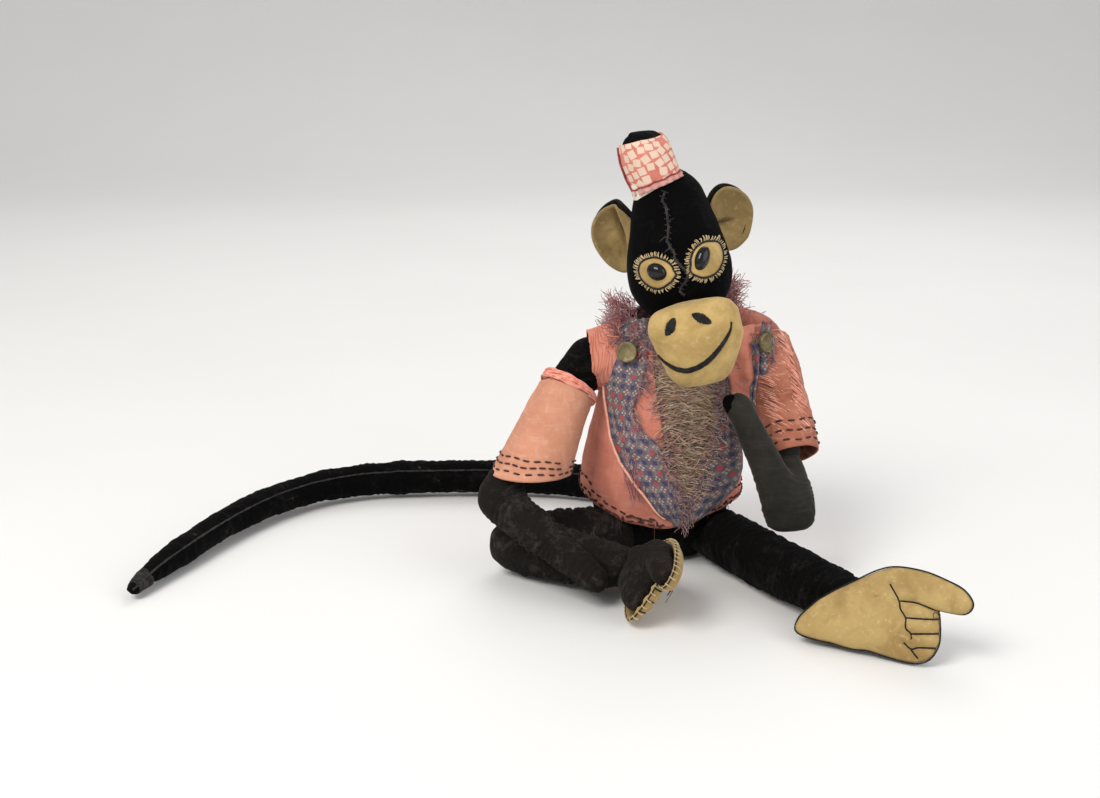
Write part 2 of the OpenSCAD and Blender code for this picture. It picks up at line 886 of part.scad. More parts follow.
module thigh_right() {
    color([0.05, 0.045, 0.05]) thigh(hip(-1), knee_at_r, thigh_dir_r, up, right_knee_half);
}
module thigh_left() {
    color([0.05, 0.045, 0.05]) thigh(hip(1), knee_at_l, thigh_dir_l, -up, left_knee_half);
}
module shin_right() { color([0.08, 0.07, 0.065]) leg_tube_right(); }
module shin_left() { color([0.05, 0.045, 0.05]) leg_tube_left(); }

// ---------------------------------------------------------------- tail

// The tail's line: out behind the seat, round to the doll's right, then forward
tail_base_line = [tail_root, [-8, 63, tail_r + 1], [-26, 80, tail_r + 1], [-54, 91, tail_r + 1],
    [-88, 96, tail_r + 1], [-124, 96, tail_r + 1], kink];
tail_tip_line = [kink, [-186, 88, tail_r + 1], [-210, 74, tail_r + 1], [-230, 54, tail_r + 0.5],
    [-246, 28, tail_r], [-259, -2, tail_r - 0.5], [-270, -32, tail_r - 1.5],
    [-279, -58, tail_r - 3], [-285, -80, tail_tip_r + 1]];

// Direction of a line at a point, between its neighbours
function line_dir(line, n) = unit(line[min(n + 1, len(line) - 1)] - line[max(n - 1, 0)]);
function ring(at, dir, r) = [for (k = [0:tail_sides - 1])
    at + r * (cos(360 * k / tail_sides) * unit(cross(dir, up)) + sin(360 * k / tail_sides) * up)];

// A round tube along a line, with a radius for each of its points
module sweep(line, radii) {
    n = len(line);
    points = [for (i = [0:n - 1]) each ring(line[i], line_dir(line, i), radii[i])];
    sides = [for (i = [0:n - 2]) for (k = [0:tail_sides - 1])
        [i * tail_sides + k, i * tail_sides + (k + 1) % tail_sides,
            (i + 1) * tail_sides + (k + 1) % tail_sides, (i + 1) * tail_sides + k]];
    ends = [[for (k = [tail_sides - 1:-1:0]) k], [for (k = [0:tail_sides - 1]) (n - 1) * tail_sides + k]];
    polyhedron(points, concat(sides, ends), convexity = 6);
}

module tail_base() {
    color([0.05, 0.045, 0.05]) union() {
        sweep(tail_base_line, [for (i = [0:len(tail_base_line) - 1]) tail_r - tail_ball_step]);
        translate(tail_root) sphere(r = tail_r);
        translate(kink) sphere(r = tail_r);
    }
}

module tail_tip() {
    last = len(tail_tip_line) - 1;
    color([0.05, 0.045, 0.05]) difference() {
        sweep(tail_tip_line, [for (i = [0:last]) i == 0 ? tail_r - 2
            : tail_tip_r + (tail_r - 1.5 - tail_tip_r) * sqrt(1 - pow(i / last, 2))]);
        translate(kink) sphere(r = tail_r + gap);
    }
}

torso_cover();
torso_stuffing();
body_joint_discs();
body_joint_washers();
jacket_back();
jacket_front_right();
jacket_front_left();
lapel_right();
lapel_left();
collar_fringe();
shirt_front();
brass_buttons();
hem_stitching();
head_cover();
head_stuffing();
head_seam();
muzzle();
face_embroidery();
eye_patch_right();
eye_patch_left();
eye_stitching();
eye_buttons();
ear_front_right();
ear_back_right();
ear_front_left();
ear_back_left();
hat_band();
hat_crown();
hat_stuffing();
neck_disc();
neck_pin();
upper_arm_right();
sleeve_right();
cuff_stitching_right();
shoulder_disc_right();
shoulder_pin_right();
forearm_right();
upper_arm_left();
sleeve_left();
cuff_stitching_left();
shoulder_disc_left();
shoulder_pin_left();
forearm_left();
thigh_right();
shin_right();
foot_upper_right();
foot_sole_right();
toe_stitching_right();
thigh_left();
shin_left();
foot_upper_left();
foot_sole_left();
toe_stitching_left();
tail_base();
tail_tip();
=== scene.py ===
"""Seated stuffed velvet monkey in a patched jacket: its cloth, stuffing, stitching and finishes."""
import json
import math
import random

import bmesh
import bpy
from mathutils import Matrix, Vector, noise
from mathutils.bvhtree import BVHTree


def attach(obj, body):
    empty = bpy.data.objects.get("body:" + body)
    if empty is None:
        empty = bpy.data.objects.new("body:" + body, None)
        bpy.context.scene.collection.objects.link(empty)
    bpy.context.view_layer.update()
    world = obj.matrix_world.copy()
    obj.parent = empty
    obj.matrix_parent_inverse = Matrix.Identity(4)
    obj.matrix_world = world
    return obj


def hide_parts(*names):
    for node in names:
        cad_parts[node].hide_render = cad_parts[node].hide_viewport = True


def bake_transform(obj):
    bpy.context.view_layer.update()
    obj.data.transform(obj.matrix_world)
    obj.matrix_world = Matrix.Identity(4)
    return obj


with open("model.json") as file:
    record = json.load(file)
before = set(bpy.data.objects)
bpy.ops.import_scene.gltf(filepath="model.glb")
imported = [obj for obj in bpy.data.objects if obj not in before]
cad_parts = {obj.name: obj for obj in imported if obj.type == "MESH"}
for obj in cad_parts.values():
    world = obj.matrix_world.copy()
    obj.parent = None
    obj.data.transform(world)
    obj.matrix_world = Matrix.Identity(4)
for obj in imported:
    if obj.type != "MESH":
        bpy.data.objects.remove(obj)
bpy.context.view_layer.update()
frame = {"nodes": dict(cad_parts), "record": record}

bl_info = {
    "name": "Stuffed velvet monkey",
    "version": (1, 0, 0),
    "blender": (4, 5, 0),
    "location": "3D View > Sidebar > Monkey",
    "description": "Builds a seated stuffed monkey doll piece by piece around its packed frame",
    "category": "Add Mesh",
}

MM = 0.001


def at(x, y, z):
    """A point given in millimetres."""
    return Vector((x, y, z)) * MM


# ------------------------------------------------------------------ finishes


class Value:
    """One output of a finish's nodes: arithmetic on it adds Math nodes."""

    def __init__(self, finish, socket):
        self.finish = finish
        self.socket = socket

    def math(self, operation, *values):
        return self.finish.node("ShaderNodeMath", {"operation": operation}, dict(enumerate(values)))

    def __add__(self, other):
        return self.math("ADD", self, other)

    __radd__ = __add__

    def __sub__(self, other):
        return self.math("SUBTRACT", self, other)

    def __rsub__(self, other):
        return self.math("SUBTRACT", other, self)

    def __mul__(self, other):
        return self.math("MULTIPLY", self, other)

    __rmul__ = __mul__

    def __truediv__(self, other):
        return self.math("DIVIDE", self, other)

    def __lt__(self, other):
        return self.math("LESS_THAN", self, other)

    def __gt__(self, other):
        return self.math("GREATER_THAN", self, other)

    def __abs__(self):
        return self.math("ABSOLUTE", self)

    def fract(self):
        return self.math("FRACT", self)

    def floor(self):
        return self.math("FLOOR", self)

    def sine(self):
        return self.math("SINE", self)

    def root(self):
        return self.math("SQRT", self)

    def power(self, other):
        return self.math("POWER", self, other)

    def least(self, other):
        return self.math("MINIMUM", self, other)

    def most(self, other):
        return self.math("MAXIMUM", self, other)


class Finish:
    """A material being made up, with one method that adds any node."""

    def __init__(self, name, slot, roughness=0.85, sheen=0.0, sheen_tint=(1, 1, 1), specular=0.5, coat=0.0):
        self.material = bpy.data.materials.new(name)
        self.material.use_nodes = True
        self.slot = slot
        self.tree = self.material.node_tree
        self.tree.nodes.clear()
        self.surface = self.tree.nodes.new("ShaderNodeBsdfPrincipled")
        end = self.tree.nodes.new("ShaderNodeOutputMaterial")
        self.tree.links.new(self.surface.outputs[0], end.inputs[0])
        self.set("Roughness", roughness)
        self.set("Sheen Weight", sheen)
        self.set("Sheen Tint", (*sheen_tint, 1))
        self.set("Sheen Roughness", 0.35)
        self.set("Specular IOR Level", specular)
        self.set("Coat Weight", coat)

    def link(self, socket, value):
        if isinstance(value, Value):
            self.tree.links.new(value.socket, socket)
        elif socket.type == "RGBA" and len(value) == 3:
            socket.default_value = (*value, 1)
        else:
            socket.default_value = value

    def set(self, name, value):
        self.link(self.surface.inputs[name], value)

    def node(self, kind, settings=(), inputs=(), output=0):
        made = self.tree.nodes.new(kind)
        for name, value in dict(settings).items():
            if name == "stops":
                self.stops(made.color_ramp.elements, value)
            else:
                setattr(made, name, value)
        for name, value in dict(inputs).items():
            self.link(made.inputs[name], value)
        return Value(self, made.outputs[output])

    @staticmethod
    def stops(elements, values):
        while len(elements) < len(values):
            elements.new(0.5)
        for element, (place, shade) in zip(elements, values):
            element.position = place
            element.color = (shade, shade, shade, 1) if isinstance(shade, (int, float)) else (*shade, 1)

    def place(self):
        return self.node("ShaderNodeTexCoord", output="Object")

    def uv(self):
        """The piece's own flat measure in millimetres, across and along."""
        parts = self.node("ShaderNodeVectorMath", {"operation": "SCALE"},
                          {0: self.node("ShaderNodeUVMap"), "Scale": 1000.0})
        split = self.tree.nodes.new("ShaderNodeSeparateXYZ")
        self.link(split.inputs[0], parts)
        return Value(self, split.outputs[0]), Value(self, split.outputs[1])

    def noise(self, scale, detail=3.0, roughness=0.55, distortion=0.0, where=None, stretch=None):
        where = where or self.place()
        if stretch:
            where = self.node("ShaderNodeMapping", {}, {"Vector": where, "Scale": stretch})
        return self.node("ShaderNodeTexNoise", {"noise_dimensions": "3D"},
                         {"Vector": where, "Scale": scale, "Detail": detail, "Roughness": roughness,
                          "Distortion": distortion})

    def ramp(self, value, *stops):
        return self.node("ShaderNodeValToRGB", {"stops": stops}, {0: value})

    def step(self, value, low, high):
        """Rises smoothly from 0 to 1 between two values."""
        return self.node("ShaderNodeMapRange", {"interpolation_type": "SMOOTHSTEP"},
                         {"Value": value, "From Min": low, "From Max": high})

    def mix(self, amount, first, second, blend="MIX"):
        return self.node("ShaderNodeMix", {"data_type": "RGBA", "blend_type": blend},
                         {0: amount, 6: first, 7: second}, 2)

    def bump(self, *layers):
        """Stacks height layers, each given as (height, distance in mm)."""
        normal = None
        for height, distance in layers:
            inputs = {"Height": height, "Distance": distance * MM, "Strength": 1.0}
            if normal:
                inputs["Normal"] = normal
            normal = self.node("ShaderNodeBump", {}, inputs)
        self.set("Normal", normal)


def velvet(name, slot, dark, pile_and_sheen, worn=(0.16, 0.14, 0.12), crush=1.0, wear=0.0, sheen=0.35,
           tint=(0.8, 0.8, 0.85)):
    """Velvet whose nap lies this way and that, painted lighter in crushed patches as painted sheen where
    folds catch the light, with bare patches where it has worn.
    """
    f = Finish(name, slot, 0.95, sheen * 0.5, tint, 0.05)
    lay = f.noise(55, 4, 0.6, 1.4)
    crease = f.noise(150, 5, 0.65, 2.2)
    nap = f.noise(2600, 2, 0.7)
    # painted sheen: the crushed mask mixes the cloth toward its lighter second colour as a painted highlight
    # where folds catch the light; the fine nap flecks below are the cloth's own texture
    turned = f.step(lay * 0.6 + crease * 0.4, 0.5, 0.66)
    colour = f.mix(turned * (0.55 * crush), dark, pile_and_sheen)
    colour = f.mix(f.step(nap, 0.45, 0.8) * 0.35, colour, pile_and_sheen)
    if wear:
        bare = f.step(f.noise(38, 5, 0.62, 0.6), 0.68 - 0.16 * wear, 0.78) * f.step(f.noise(700, 2), 0.4,
                                                                                    0.62)
        colour = f.mix(bare * 0.7, colour, worn)
    f.set("Base Color", colour)
    f.set("Roughness", 0.95 - turned * (0.32 * crush))
    f.bump((lay, 1.2 * crush), (crease, 0.7 * crush), (nap, 0.12))
    return f


def plush(name, slot, colour, deep, pale, soil=0.5):
    """Short tan velveteen, mottled and handled."""
    f = Finish(name, slot, 0.92, 0.3, (1.0, 0.9, 0.7), 0.2)
    broad = f.noise(42, 4, 0.6, 0.4)
    fleck = f.noise(420, 4, 0.7)
    nap = f.noise(2300, 2, 0.7)
    shade = f.mix(f.step(broad, 0.36, 0.62), deep, colour)
    shade = f.mix(f.step(fleck, 0.52, 0.74) * 0.5, shade, pale)
    grime = f.step(f.noise(85, 5, 0.68, 0.8), 0.56, 0.74) * soil
    shade = f.mix(grime, shade, tuple(c * 0.45 for c in deep))
    f.set("Base Color", shade)
    f.set("Roughness", 0.98 - f.step(fleck, 0.4, 0.8) * 0.12)
    f.bump((broad, 0.5), (fleck, 0.16), (nap, 0.1))
    return f


def weave(f, pitch, u=None, v=None):
    """Height of a plain weave, its threads a pitch in mm apart."""
    if u is None:
        u, v = f.uv()
    turn = math.tau / pitch
    over = (u * turn).sine()
    under = (v * turn).sine()
    return over * under * 0.5 + 0.5


def cotton(name, slot, colour, deep, pale, pitch=0.55, scuff=0.4, flat=True):
    """Plain-weave cotton: slubs, faded folds and rubbed threads."""
    f = Finish(name, slot, 0.88, 0.12, (1.0, 0.9, 0.85), 0.2)
    if flat:
        u, v = f.uv()
        threads = weave(f, pitch, u, v)
    else:
        threads = f.noise(1500, 2, 0.6, 0.3)
    broad = f.noise(36, 4, 0.6, 0.5)
    streak = f.noise(60, 4, 0.6, 0.2, stretch=(1.0, 1.0, 9.0))
    slub = f.noise(330, 3, 0.6, 0.2, stretch=(1.0, 1.0, 0.25))
    shade = f.mix(f.step(broad, 0.34, 0.66), deep, colour)
    shade = f.mix(f.step(streak, 0.5, 0.72) * scuff, shade, pale)
    shade = f.mix(f.step(slub, 0.52, 0.7) * 0.25, shade, pale)
    shade = f.mix(threads * 0.16, shade, deep)
    f.set("Base Color", shade)
    f.set("Roughness", 0.95 - f.step(broad, 0.3, 0.7) * 0.12)
    f.bump((broad, 0.5), (slub, 0.2), (threads, 0.12))
    return f


def calico(name, slot, ground, cream, red, blue, pitch):
    """Small printed cotton: a grid of four-petalled flowers with squares between."""
    f = Finish(name, slot, 0.9, 0.12, (1, 1, 1), 0.2)
    u, v = f.uv()
    wobble = f.noise(90, 2)
    u = u + (wobble - 0.5) * 1.2
    v = v + (wobble - 0.5) * 0.8

    def cell(shift):
        a = (u / pitch + shift).fract() - 0.5
        b = (v / pitch + shift).fract() - 0.5
        return abs(a), abs(b)

    a, b = cell(0.0)
    long, short = a.most(b), a.least(b)
    off = long - 0.2
    petals = 1 - f.step((off * off + short * short).root(), 0.08, 0.115)
    heart = 1 - f.step((a * a + b * b).root(), 0.04, 0.08)
    a, b = cell(0.5)
    square = 1 - f.step(a.most(b), 0.19, 0.225)
    pick = f.node("ShaderNodeTexWhiteNoise", {"noise_dimensions": "2D"}, {"Vector": f.node(
        "ShaderNodeCombineXYZ", {}, {0: (u / pitch + 0.5).floor(), 1: (v / pitch + 0.5).floor()})})
    wear = f.step(f.noise(260, 4, 0.7), 0.42, 0.66)
    shade = f.mix(petals * 0.85, f.mix(wear * 0.35, ground, cream), cream)
    shade = f.mix(heart, shade, red)
    shade = f.mix(square, shade, f.mix(pick > 0.30, red, blue))
    shade = f.mix(wear * 0.28, shade, ground)
    f.set("Base Color", shade)
    threads = weave(f, 0.6, u, v)
    f.bump((f.noise(45, 3), 0.5), (threads, 0.1))
    return f


def squares_print(name, slot, ground, deep, cream):
    """Coral cotton with cream squares scattered over most of it."""
    f = Finish(name, slot, 0.88, 0.1, (1, 1, 1), 0.2)
    u, v = f.uv()
    across, up = (u + v * 0.18) / 5.0, (v - u * 0.12) / 5.0
    cell = f.node("ShaderNodeCombineXYZ", {}, {0: across.floor(), 1: up.floor()})
    tone = f.node("ShaderNodeTexWhiteNoise", {"noise_dimensions": "2D"}, {"Vector": cell}, 1)
    parts = f.tree.nodes.new("ShaderNodeSeparateColor")
    f.link(parts.inputs[0], tone)
    first, second, third = [Value(f, parts.outputs[k]) for k in range(3)]
    turn = (first - 0.5) * 1.1
    a = across.fract() - 0.5 + (second - 0.5) * 0.16
    b = up.fract() - 0.5 + (third - 0.5) * 0.16
    cos, sin = turn.math("COSINE", turn), turn.sine()
    far = abs(a * cos - b * sin).most(abs(a * sin + b * cos))
    plain = f.step(u, 36.0, 40.0)
    block = (1 - f.step(far, 0.33 + second * 0.09, 0.40 + second * 0.09)) * (third > (0.08 + plain * 0.7))
    broad = f.noise(60, 4, 0.6)
    shade = f.mix(f.step(broad, 0.35, 0.65), deep, ground)
    shade = f.mix(block * 0.92, shade, cream)
    f.set("Base Color", shade)
    f.bump((broad, 0.4), (weave(f, 0.5, u, v), 0.1))
    return f


def thread(name, slot, colour, other, sheen=0.15):
    """Twisted sewing thread or a frayed end, uneven in tone."""
    f = Finish(name, slot, 0.85, sheen, (1, 1, 1), 0.3)
    tone = f.noise(310, 3, 0.6)
    f.set("Base Color", f.mix(f.step(tone, 0.35, 0.65), colour, other))
    f.bump((f.noise(2800, 2), 0.1))
    return f


def brass(name, slot):
    """Old brass, dull and olive with lighter rubbed patches."""
    f = Finish(name, slot, 0.5)
    broad = f.noise(160, 4, 0.6, 0.5)
    pit = f.noise(1400, 3, 0.6)
    f.set("Base Color", f.mix(f.step(broad, 0.35, 0.7), (0.11, 0.095, 0.045), (0.26, 0.21, 0.1)))
    f.set("Metallic", 0.75 - f.step(broad, 0.4, 0.8) * 0.35)
    f.set("Roughness", 0.42 + f.step(pit, 0.4, 0.7) * 0.25)
    f.bump((pit, 0.08))
    return f


def glass_button(name, slot):
    """Black boot-button glass."""
    f = Finish(name, slot, 0.08, 0.0, (1, 1, 1), 0.35)
    haze = f.noise(500, 3)
    f.set("Base Color", f.mix(f.step(haze, 0.5, 0.8), (0.004, 0.004, 0.005), (0.02, 0.016, 0.012)))
    f.set("Roughness", 0.06 + f.step(haze, 0.45, 0.8) * 0.14)
    return f


def board(name, slot):
    """Grey-brown pressed card of the joint discs."""
    f = Finish(name, slot, 0.9)
    fibre = f.noise(420, 5, 0.7, 0.6)
    f.set("Base Color", f.mix(fibre, (0.3, 0.21, 0.12), (0.52, 0.4, 0.26)))
    f.bump((fibre, 0.15))
    return f


def steel(name, slot):
    """Dull drawn steel of the washers and pins."""
    f = Finish(name, slot, 0.45)
    rub = f.noise(600, 4, 0.6, 0.2, stretch=(1, 1, 6))
    f.set("Base Color", f.mix(rub, (0.3, 0.3, 0.29), (0.6, 0.6, 0.58)))
    f.set("Metallic", 0.9)
    f.set("Roughness", 0.35 + rub * 0.3)
    return f


def wadding(name, slot):
    """Cotton stuffing, lumpy and cream."""
    f = Finish(name, slot, 0.95, 0.3)
    lump = f.noise(120, 5, 0.65)
    f.set("Base Color", f.mix(lump, (0.62, 0.55, 0.42), (0.88, 0.84, 0.74)))
    f.bump((lump, 1.5))
    return f


def floor_finish():
    f = Finish("pale floor", None, 0.75)
    f.set("Base Color", f.mix(f.noise(3.0, 4), (0.78, 0.77, 0.75), (0.84, 0.83, 0.81)))
    return f


FINISHES = {}


def finish(key):
    """A finish by its short name, made the first time it is asked for."""
    if key not in FINISHES:
        FINISHES[key] = MAKERS[key]()
    return FINISHES[key]


MAKERS = {
    # each velvet's second colour is its lighter crushed tone, which velvet() paints on as sheen where folds
    # catch the light
    "head velvet": lambda: velvet("black silk velvet", "black_velvet", (0.0016, 0.0015, 0.0016),
                                  (0.006, 0.0056, 0.0056), crush=0.5, wear=0.1, sheen=0.03),
    "black velvet": lambda: velvet("crushed black velvet", "black_velvet", (0.0025, 0.0023, 0.0023),
                                   (0.022, 0.019, 0.017), crush=1.0, wear=0.2, sheen=0.05),
    # near-black velvet whose brownish crushed tone is painted sheen, standing in for the olive-brown
    # reflections of the crushed nap; its bare rubbed patches are real wear
    "brown sheen velvet": lambda: velvet("rubbed brown-black velvet with painted brown sheen", "black_velvet", (0.012, 0.010, 0.009),
                                   (0.050, 0.042, 0.036), crush=1.3, wear=0.5, sheen=0.10,
                                   tint=(0.9, 0.85, 0.78)),
    "tan": lambda: plush("tan velveteen", "tan_velveteen", (0.54, 0.375, 0.145), (0.38, 0.25, 0.09),
                         (0.6, 0.46, 0.22), 0.35),
    "tan sole": lambda: plush("worn tan velveteen", "tan_velveteen", (0.47, 0.33, 0.13),
                              (0.34, 0.22, 0.08), (0.62, 0.48, 0.24), 0.3),
    "ear tan": lambda: plush("ear velveteen", "tan_velveteen", (0.34, 0.235, 0.095), (0.22, 0.15, 0.06),
                             (0.46, 0.35, 0.17), 0.5),
    "coral": lambda: cotton("coral cotton", "coral_cotton", (0.76, 0.29, 0.205), (0.60, 0.20, 0.135),
                            (0.78, 0.38, 0.30)),
    "peach": lambda: cotton("faded coral cotton", "coral_cotton", (0.70, 0.33, 0.21), (0.60, 0.26, 0.16),
                            (0.80, 0.48, 0.36)),
    "charcoal": lambda: cotton("charcoal cotton", "grey_cotton", (0.027, 0.024, 0.019),
                               (0.016, 0.014, 0.011), (0.045, 0.040, 0.033), 0.55, 0.4, False),
    "calico": lambda: calico("flowered calico", "printed_cotton", (0.125, 0.105, 0.125), (0.55, 0.45, 0.38),
                             (0.50, 0.07, 0.065), (0.06, 0.06, 0.15), 6.4),
    "fez": lambda: squares_print("squares print", "fez_print", (0.70, 0.24, 0.18), (0.58, 0.17, 0.13),
                                 (0.80, 0.62, 0.48)),
    "shirt": lambda: cotton("frayed cream cotton", "shirt_cloth", (0.34, 0.24, 0.14), (0.16, 0.09, 0.07),
                            (0.55, 0.45, 0.29), 0.9, 0.8),
    "brass": lambda: brass("old brass", "brass"),
    "glass": lambda: glass_button("boot-button glass", "shoe_button"),
    "board": lambda: board("pressed card", "fibre_board"),
    "steel": lambda: steel("drawn steel", "steel"),
    "wadding": lambda: wadding("cotton stuffing", "stuffing"),
    "brown thread": lambda: thread("brown thread", "brown_thread", (0.045, 0.018, 0.014),
                                   (0.09, 0.035, 0.03)),
    "black thread": lambda: thread("black thread", "black_thread", (0.006, 0.006, 0.006),
                                   (0.02, 0.018, 0.016)),
    "cream thread": lambda: thread("cream thread", "cream_thread", (0.56, 0.44, 0.25), (0.42, 0.31, 0.15)),
    "coral thread": lambda: thread("coral thread", "coral_cotton", (0.78, 0.25, 0.17), (0.88, 0.42, 0.32)),
    "grey thread": lambda: thread("grey thread", "printed_cotton", (0.12, 0.10, 0.125), (0.26, 0.2, 0.22)),
    "rose thread": lambda: thread("rose thread", "printed_cotton", (0.33, 0.11, 0.12), (0.5, 0.27, 0.27)),
    "shirt thread": lambda: thread("shirt thread", "shirt_cloth", (0.60, 0.48, 0.31), (0.36, 0.2, 0.14)),
    "seam": lambda: thread("worn seam", "worn_seam", (0.012, 0.0105, 0.010), (0.040, 0.034, 0.032)),
    "wine thread": lambda: thread("wine piping", "fez_print", (0.22, 0.03, 0.03), (0.36, 0.06, 0.06)),
    "pale rose": lambda: cotton("pale rose cotton", "fez_print", (0.80, 0.42, 0.36), (0.66, 0.28, 0.24),
                                (0.9, 0.62, 0.55), 0.5, 0.5),
}


def dress(piece, key, body=None):
    """Gives a piece its finish, and lets it ride on a body."""
    made = finish(key)
    piece.data.materials.clear()
    piece.data.materials.append(made.material)
    if body:
        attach(piece, body)
    return piece


# ------------------------------------------------------------------ making pieces


def new_piece(name, bm, smooth=True):
    """Turns a finished bmesh into an object of the scene."""
    mesh = bpy.data.meshes.new(name)
    for face in bm.faces:
        face.smooth = smooth
    bm.to_mesh(mesh)
    bm.free()
    piece = bpy.data.objects.new(name, mesh)
    bpy.context.scene.collection.objects.link(piece)
    return piece


def settle(piece):
    """Applies a piece's live modifiers to its mesh."""
    graph = bpy.context.evaluated_depsgraph_get()
    graph.update()
    mesh = bpy.data.meshes.new_from_object(piece.evaluated_get(graph), depsgraph=graph)
    old = piece.data
    piece.modifiers.clear()
    piece.data = mesh
    mesh.name = old.name
    bpy.data.meshes.remove(old)
    return piece


def modify(piece, kind, **settings):
    made = piece.modifiers.new(kind.title(), kind)
    for name, value in settings.items():
        setattr(made, name, value)
    return made


def stretch_over(bm, balls):
    """Adds the closed skin stretched over a few balls, each given as (centre in mm, radius in mm)."""
    part = bmesh.new()
    for centre, radius in balls:
        bmesh.ops.create_uvsphere(part, u_segments=20, v_segments=12, radius=radius * MM,
                                  matrix=Matrix.Translation(Vector(centre) * MM))
    bmesh.ops.delete(part, geom=part.edges[:] + part.faces[:], context="EDGES_FACES")
    spare = bmesh.ops.convex_hull(part, input=part.verts[:])["geom_interior"]
    bmesh.ops.delete(part, geom=[g for g in spare if isinstance(g, bmesh.types.BMVert)], context="VERTS")
    mesh = bpy.data.meshes.new("skin")
    part.to_mesh(mesh)
    part.free()
    bm.from_mesh(mesh)
    bpy.data.meshes.remove(mesh)


def remesh(piece, voxel, smoothing=4):
    """Makes one even skin of a piece's overlapping skins."""
    modify(piece, "REMESH", mode="VOXEL", voxel_size=voxel * MM, use_smooth_shade=True)
    if smoothing:
        modify(piece, "SMOOTH", factor=0.5, iterations=smoothing)
    return settle(piece)


def puff(piece, pressure=4.0, cap=3.0, frames=20):
    """Blows the cloth of a stuffed piece up with its wadding, no further than a cap in mm."""
    before = [v.co.copy() for v in piece.data.vertices]
    cloth = modify(piece, "CLOTH")
    cloth.settings.use_pressure = True
    cloth.settings.uniform_pressure_force = pressure
    cloth.settings.quality = 4
    cloth.settings.mass = 0.3
    cloth.settings.tension_stiffness = 15
    cloth.settings.compression_stiffness = 15
    cloth.settings.bending_stiffness = 0.5
    cloth.settings.effector_weights.gravity = 0
    cloth.collision_settings.use_collision = False
    cloth.point_cache.frame_start = 1
    cloth.point_cache.frame_end = frames
    for frame_number in range(1, frames + 1):
        bpy.context.scene.frame_set(frame_number)
    settle(piece)
    bpy.context.scene.frame_set(1)
    limit = cap * MM
    for vertex, start in zip(piece.data.vertices, before):
        step = vertex.co - start
        if not all(map(math.isfinite, step)):
            vertex.co = start
        elif step.length > limit:
            vertex.co = start + step * (limit / step.length)
    return piece


def subdivide(piece, levels=1):
    modify(piece, "SUBSURF", levels=levels, render_levels=levels)
    return settle(piece)


def shape(piece, move):
    """Moves each point of a piece by what move(point, normal) gives back, in mm."""
    mesh = piece.data
    normals = [n.vector.copy() for n in mesh.vertex_normals]
    for vertex, normal in zip(mesh.vertices, normals):
        vertex.co += move(vertex.co / MM, normal) * MM
    mesh.update()
    return piece


def above_floor(low):
    """A move that lifts whatever hangs under a height in mm."""
    def move(point, normal):
        return Vector((0, 0, max(0.0, low - point.z)))
    return move


def smooth_noise(point, size, seed=0):
    """Noise from -1 to 1, whose lumps are about a size in mm."""
    return noise.noise(point / size + Vector((seed * 7.3, seed * 3.1, seed * 5.7)))


def rumple(piece, *layers, seed=0):
    """Lumps in a skin: each layer is (size, height) in mm."""
    def move(point, normal):
        lift = sum(smooth_noise(point, size, seed + k) * height for k, (size, height) in enumerate(layers))
        return normal * lift
    return shape(piece, move)


def creases(piece, start, end, pitch, depth, seed=0, slant=0.0):
    """Cross folds along a limb from one joint to the next, deepest in patches round it."""
    start, end = Vector(start), Vector(end)
    along = (end - start).normalized()
    side = along.orthogonal().normalized()
    other = along.cross(side)
    length = (end - start).length

    def move(point, normal):
        t = (point - start).dot(along)
        if t < -4 or t > length + 4:
            return normal * 0
        away = point - start - along * t
        turn = math.atan2(away.dot(other), away.dot(side))
        wander = smooth_noise(point, 16, seed) * pitch * 0.9
        wave = math.sin(math.tau * (t + wander + slant * turn * 3) / pitch)
        fold = 0.5 - abs(wave) ** 2.0
        patch = 0.35 + 0.65 * max(0.0, smooth_noise(point, 22, seed + 4) + 0.35)
        ends = min(1.0, max(0.0, (t + 4) / 8), max(0.0, (length + 4 - t) / 8))
        return normal * fold * depth * patch * ends
    return shape(piece, move)


def stuffed(name, groups, voxel=4.0, pressure=4.0, cap=3.0, shrink=0.8, smoothing=3, levels=1):
    """A stuffed skin over groups of balls: remeshed, blown up, and smoothed once."""
    bm = bmesh.new()
    for balls in groups:
        stretch_over(bm, [(centre, radius - shrink) for centre, radius in balls])
    piece = new_piece(name, bm)
    remesh(piece, voxel, smoothing)
    puff(piece, pressure, cap)
    if levels:
        subdivide(piece, levels)
    return piece


def tree_of(piece):
    """A search tree of a piece's surface, in metres."""
    mesh = piece.data
    return BVHTree.FromPolygons([v.co for v in mesh.vertices], [p.vertices for p in mesh.polygons])


def drop_on(tree, point, direction, lift=0.0):
    """Where a ray in mm meets a surface, lifted off it along its normal, with that normal."""
    hit, normal, _, _ = tree.ray_cast(Vector(point) * MM, Vector(direction).normalized())
    if hit is None:
        hit, normal, _, _ = tree.find_nearest(Vector(point) * MM)
    if normal.dot(Vector(direction)) > 0:
        normal = -normal
    return hit / MM + normal * lift, normal


def cling(tree, point, lift=0.0):
    """The nearest place on a surface, in mm, lifted off along its outward normal."""
    hit, normal, _, _ = tree.find_nearest(Vector(point) * MM)
    return hit / MM + normal * lift, normal


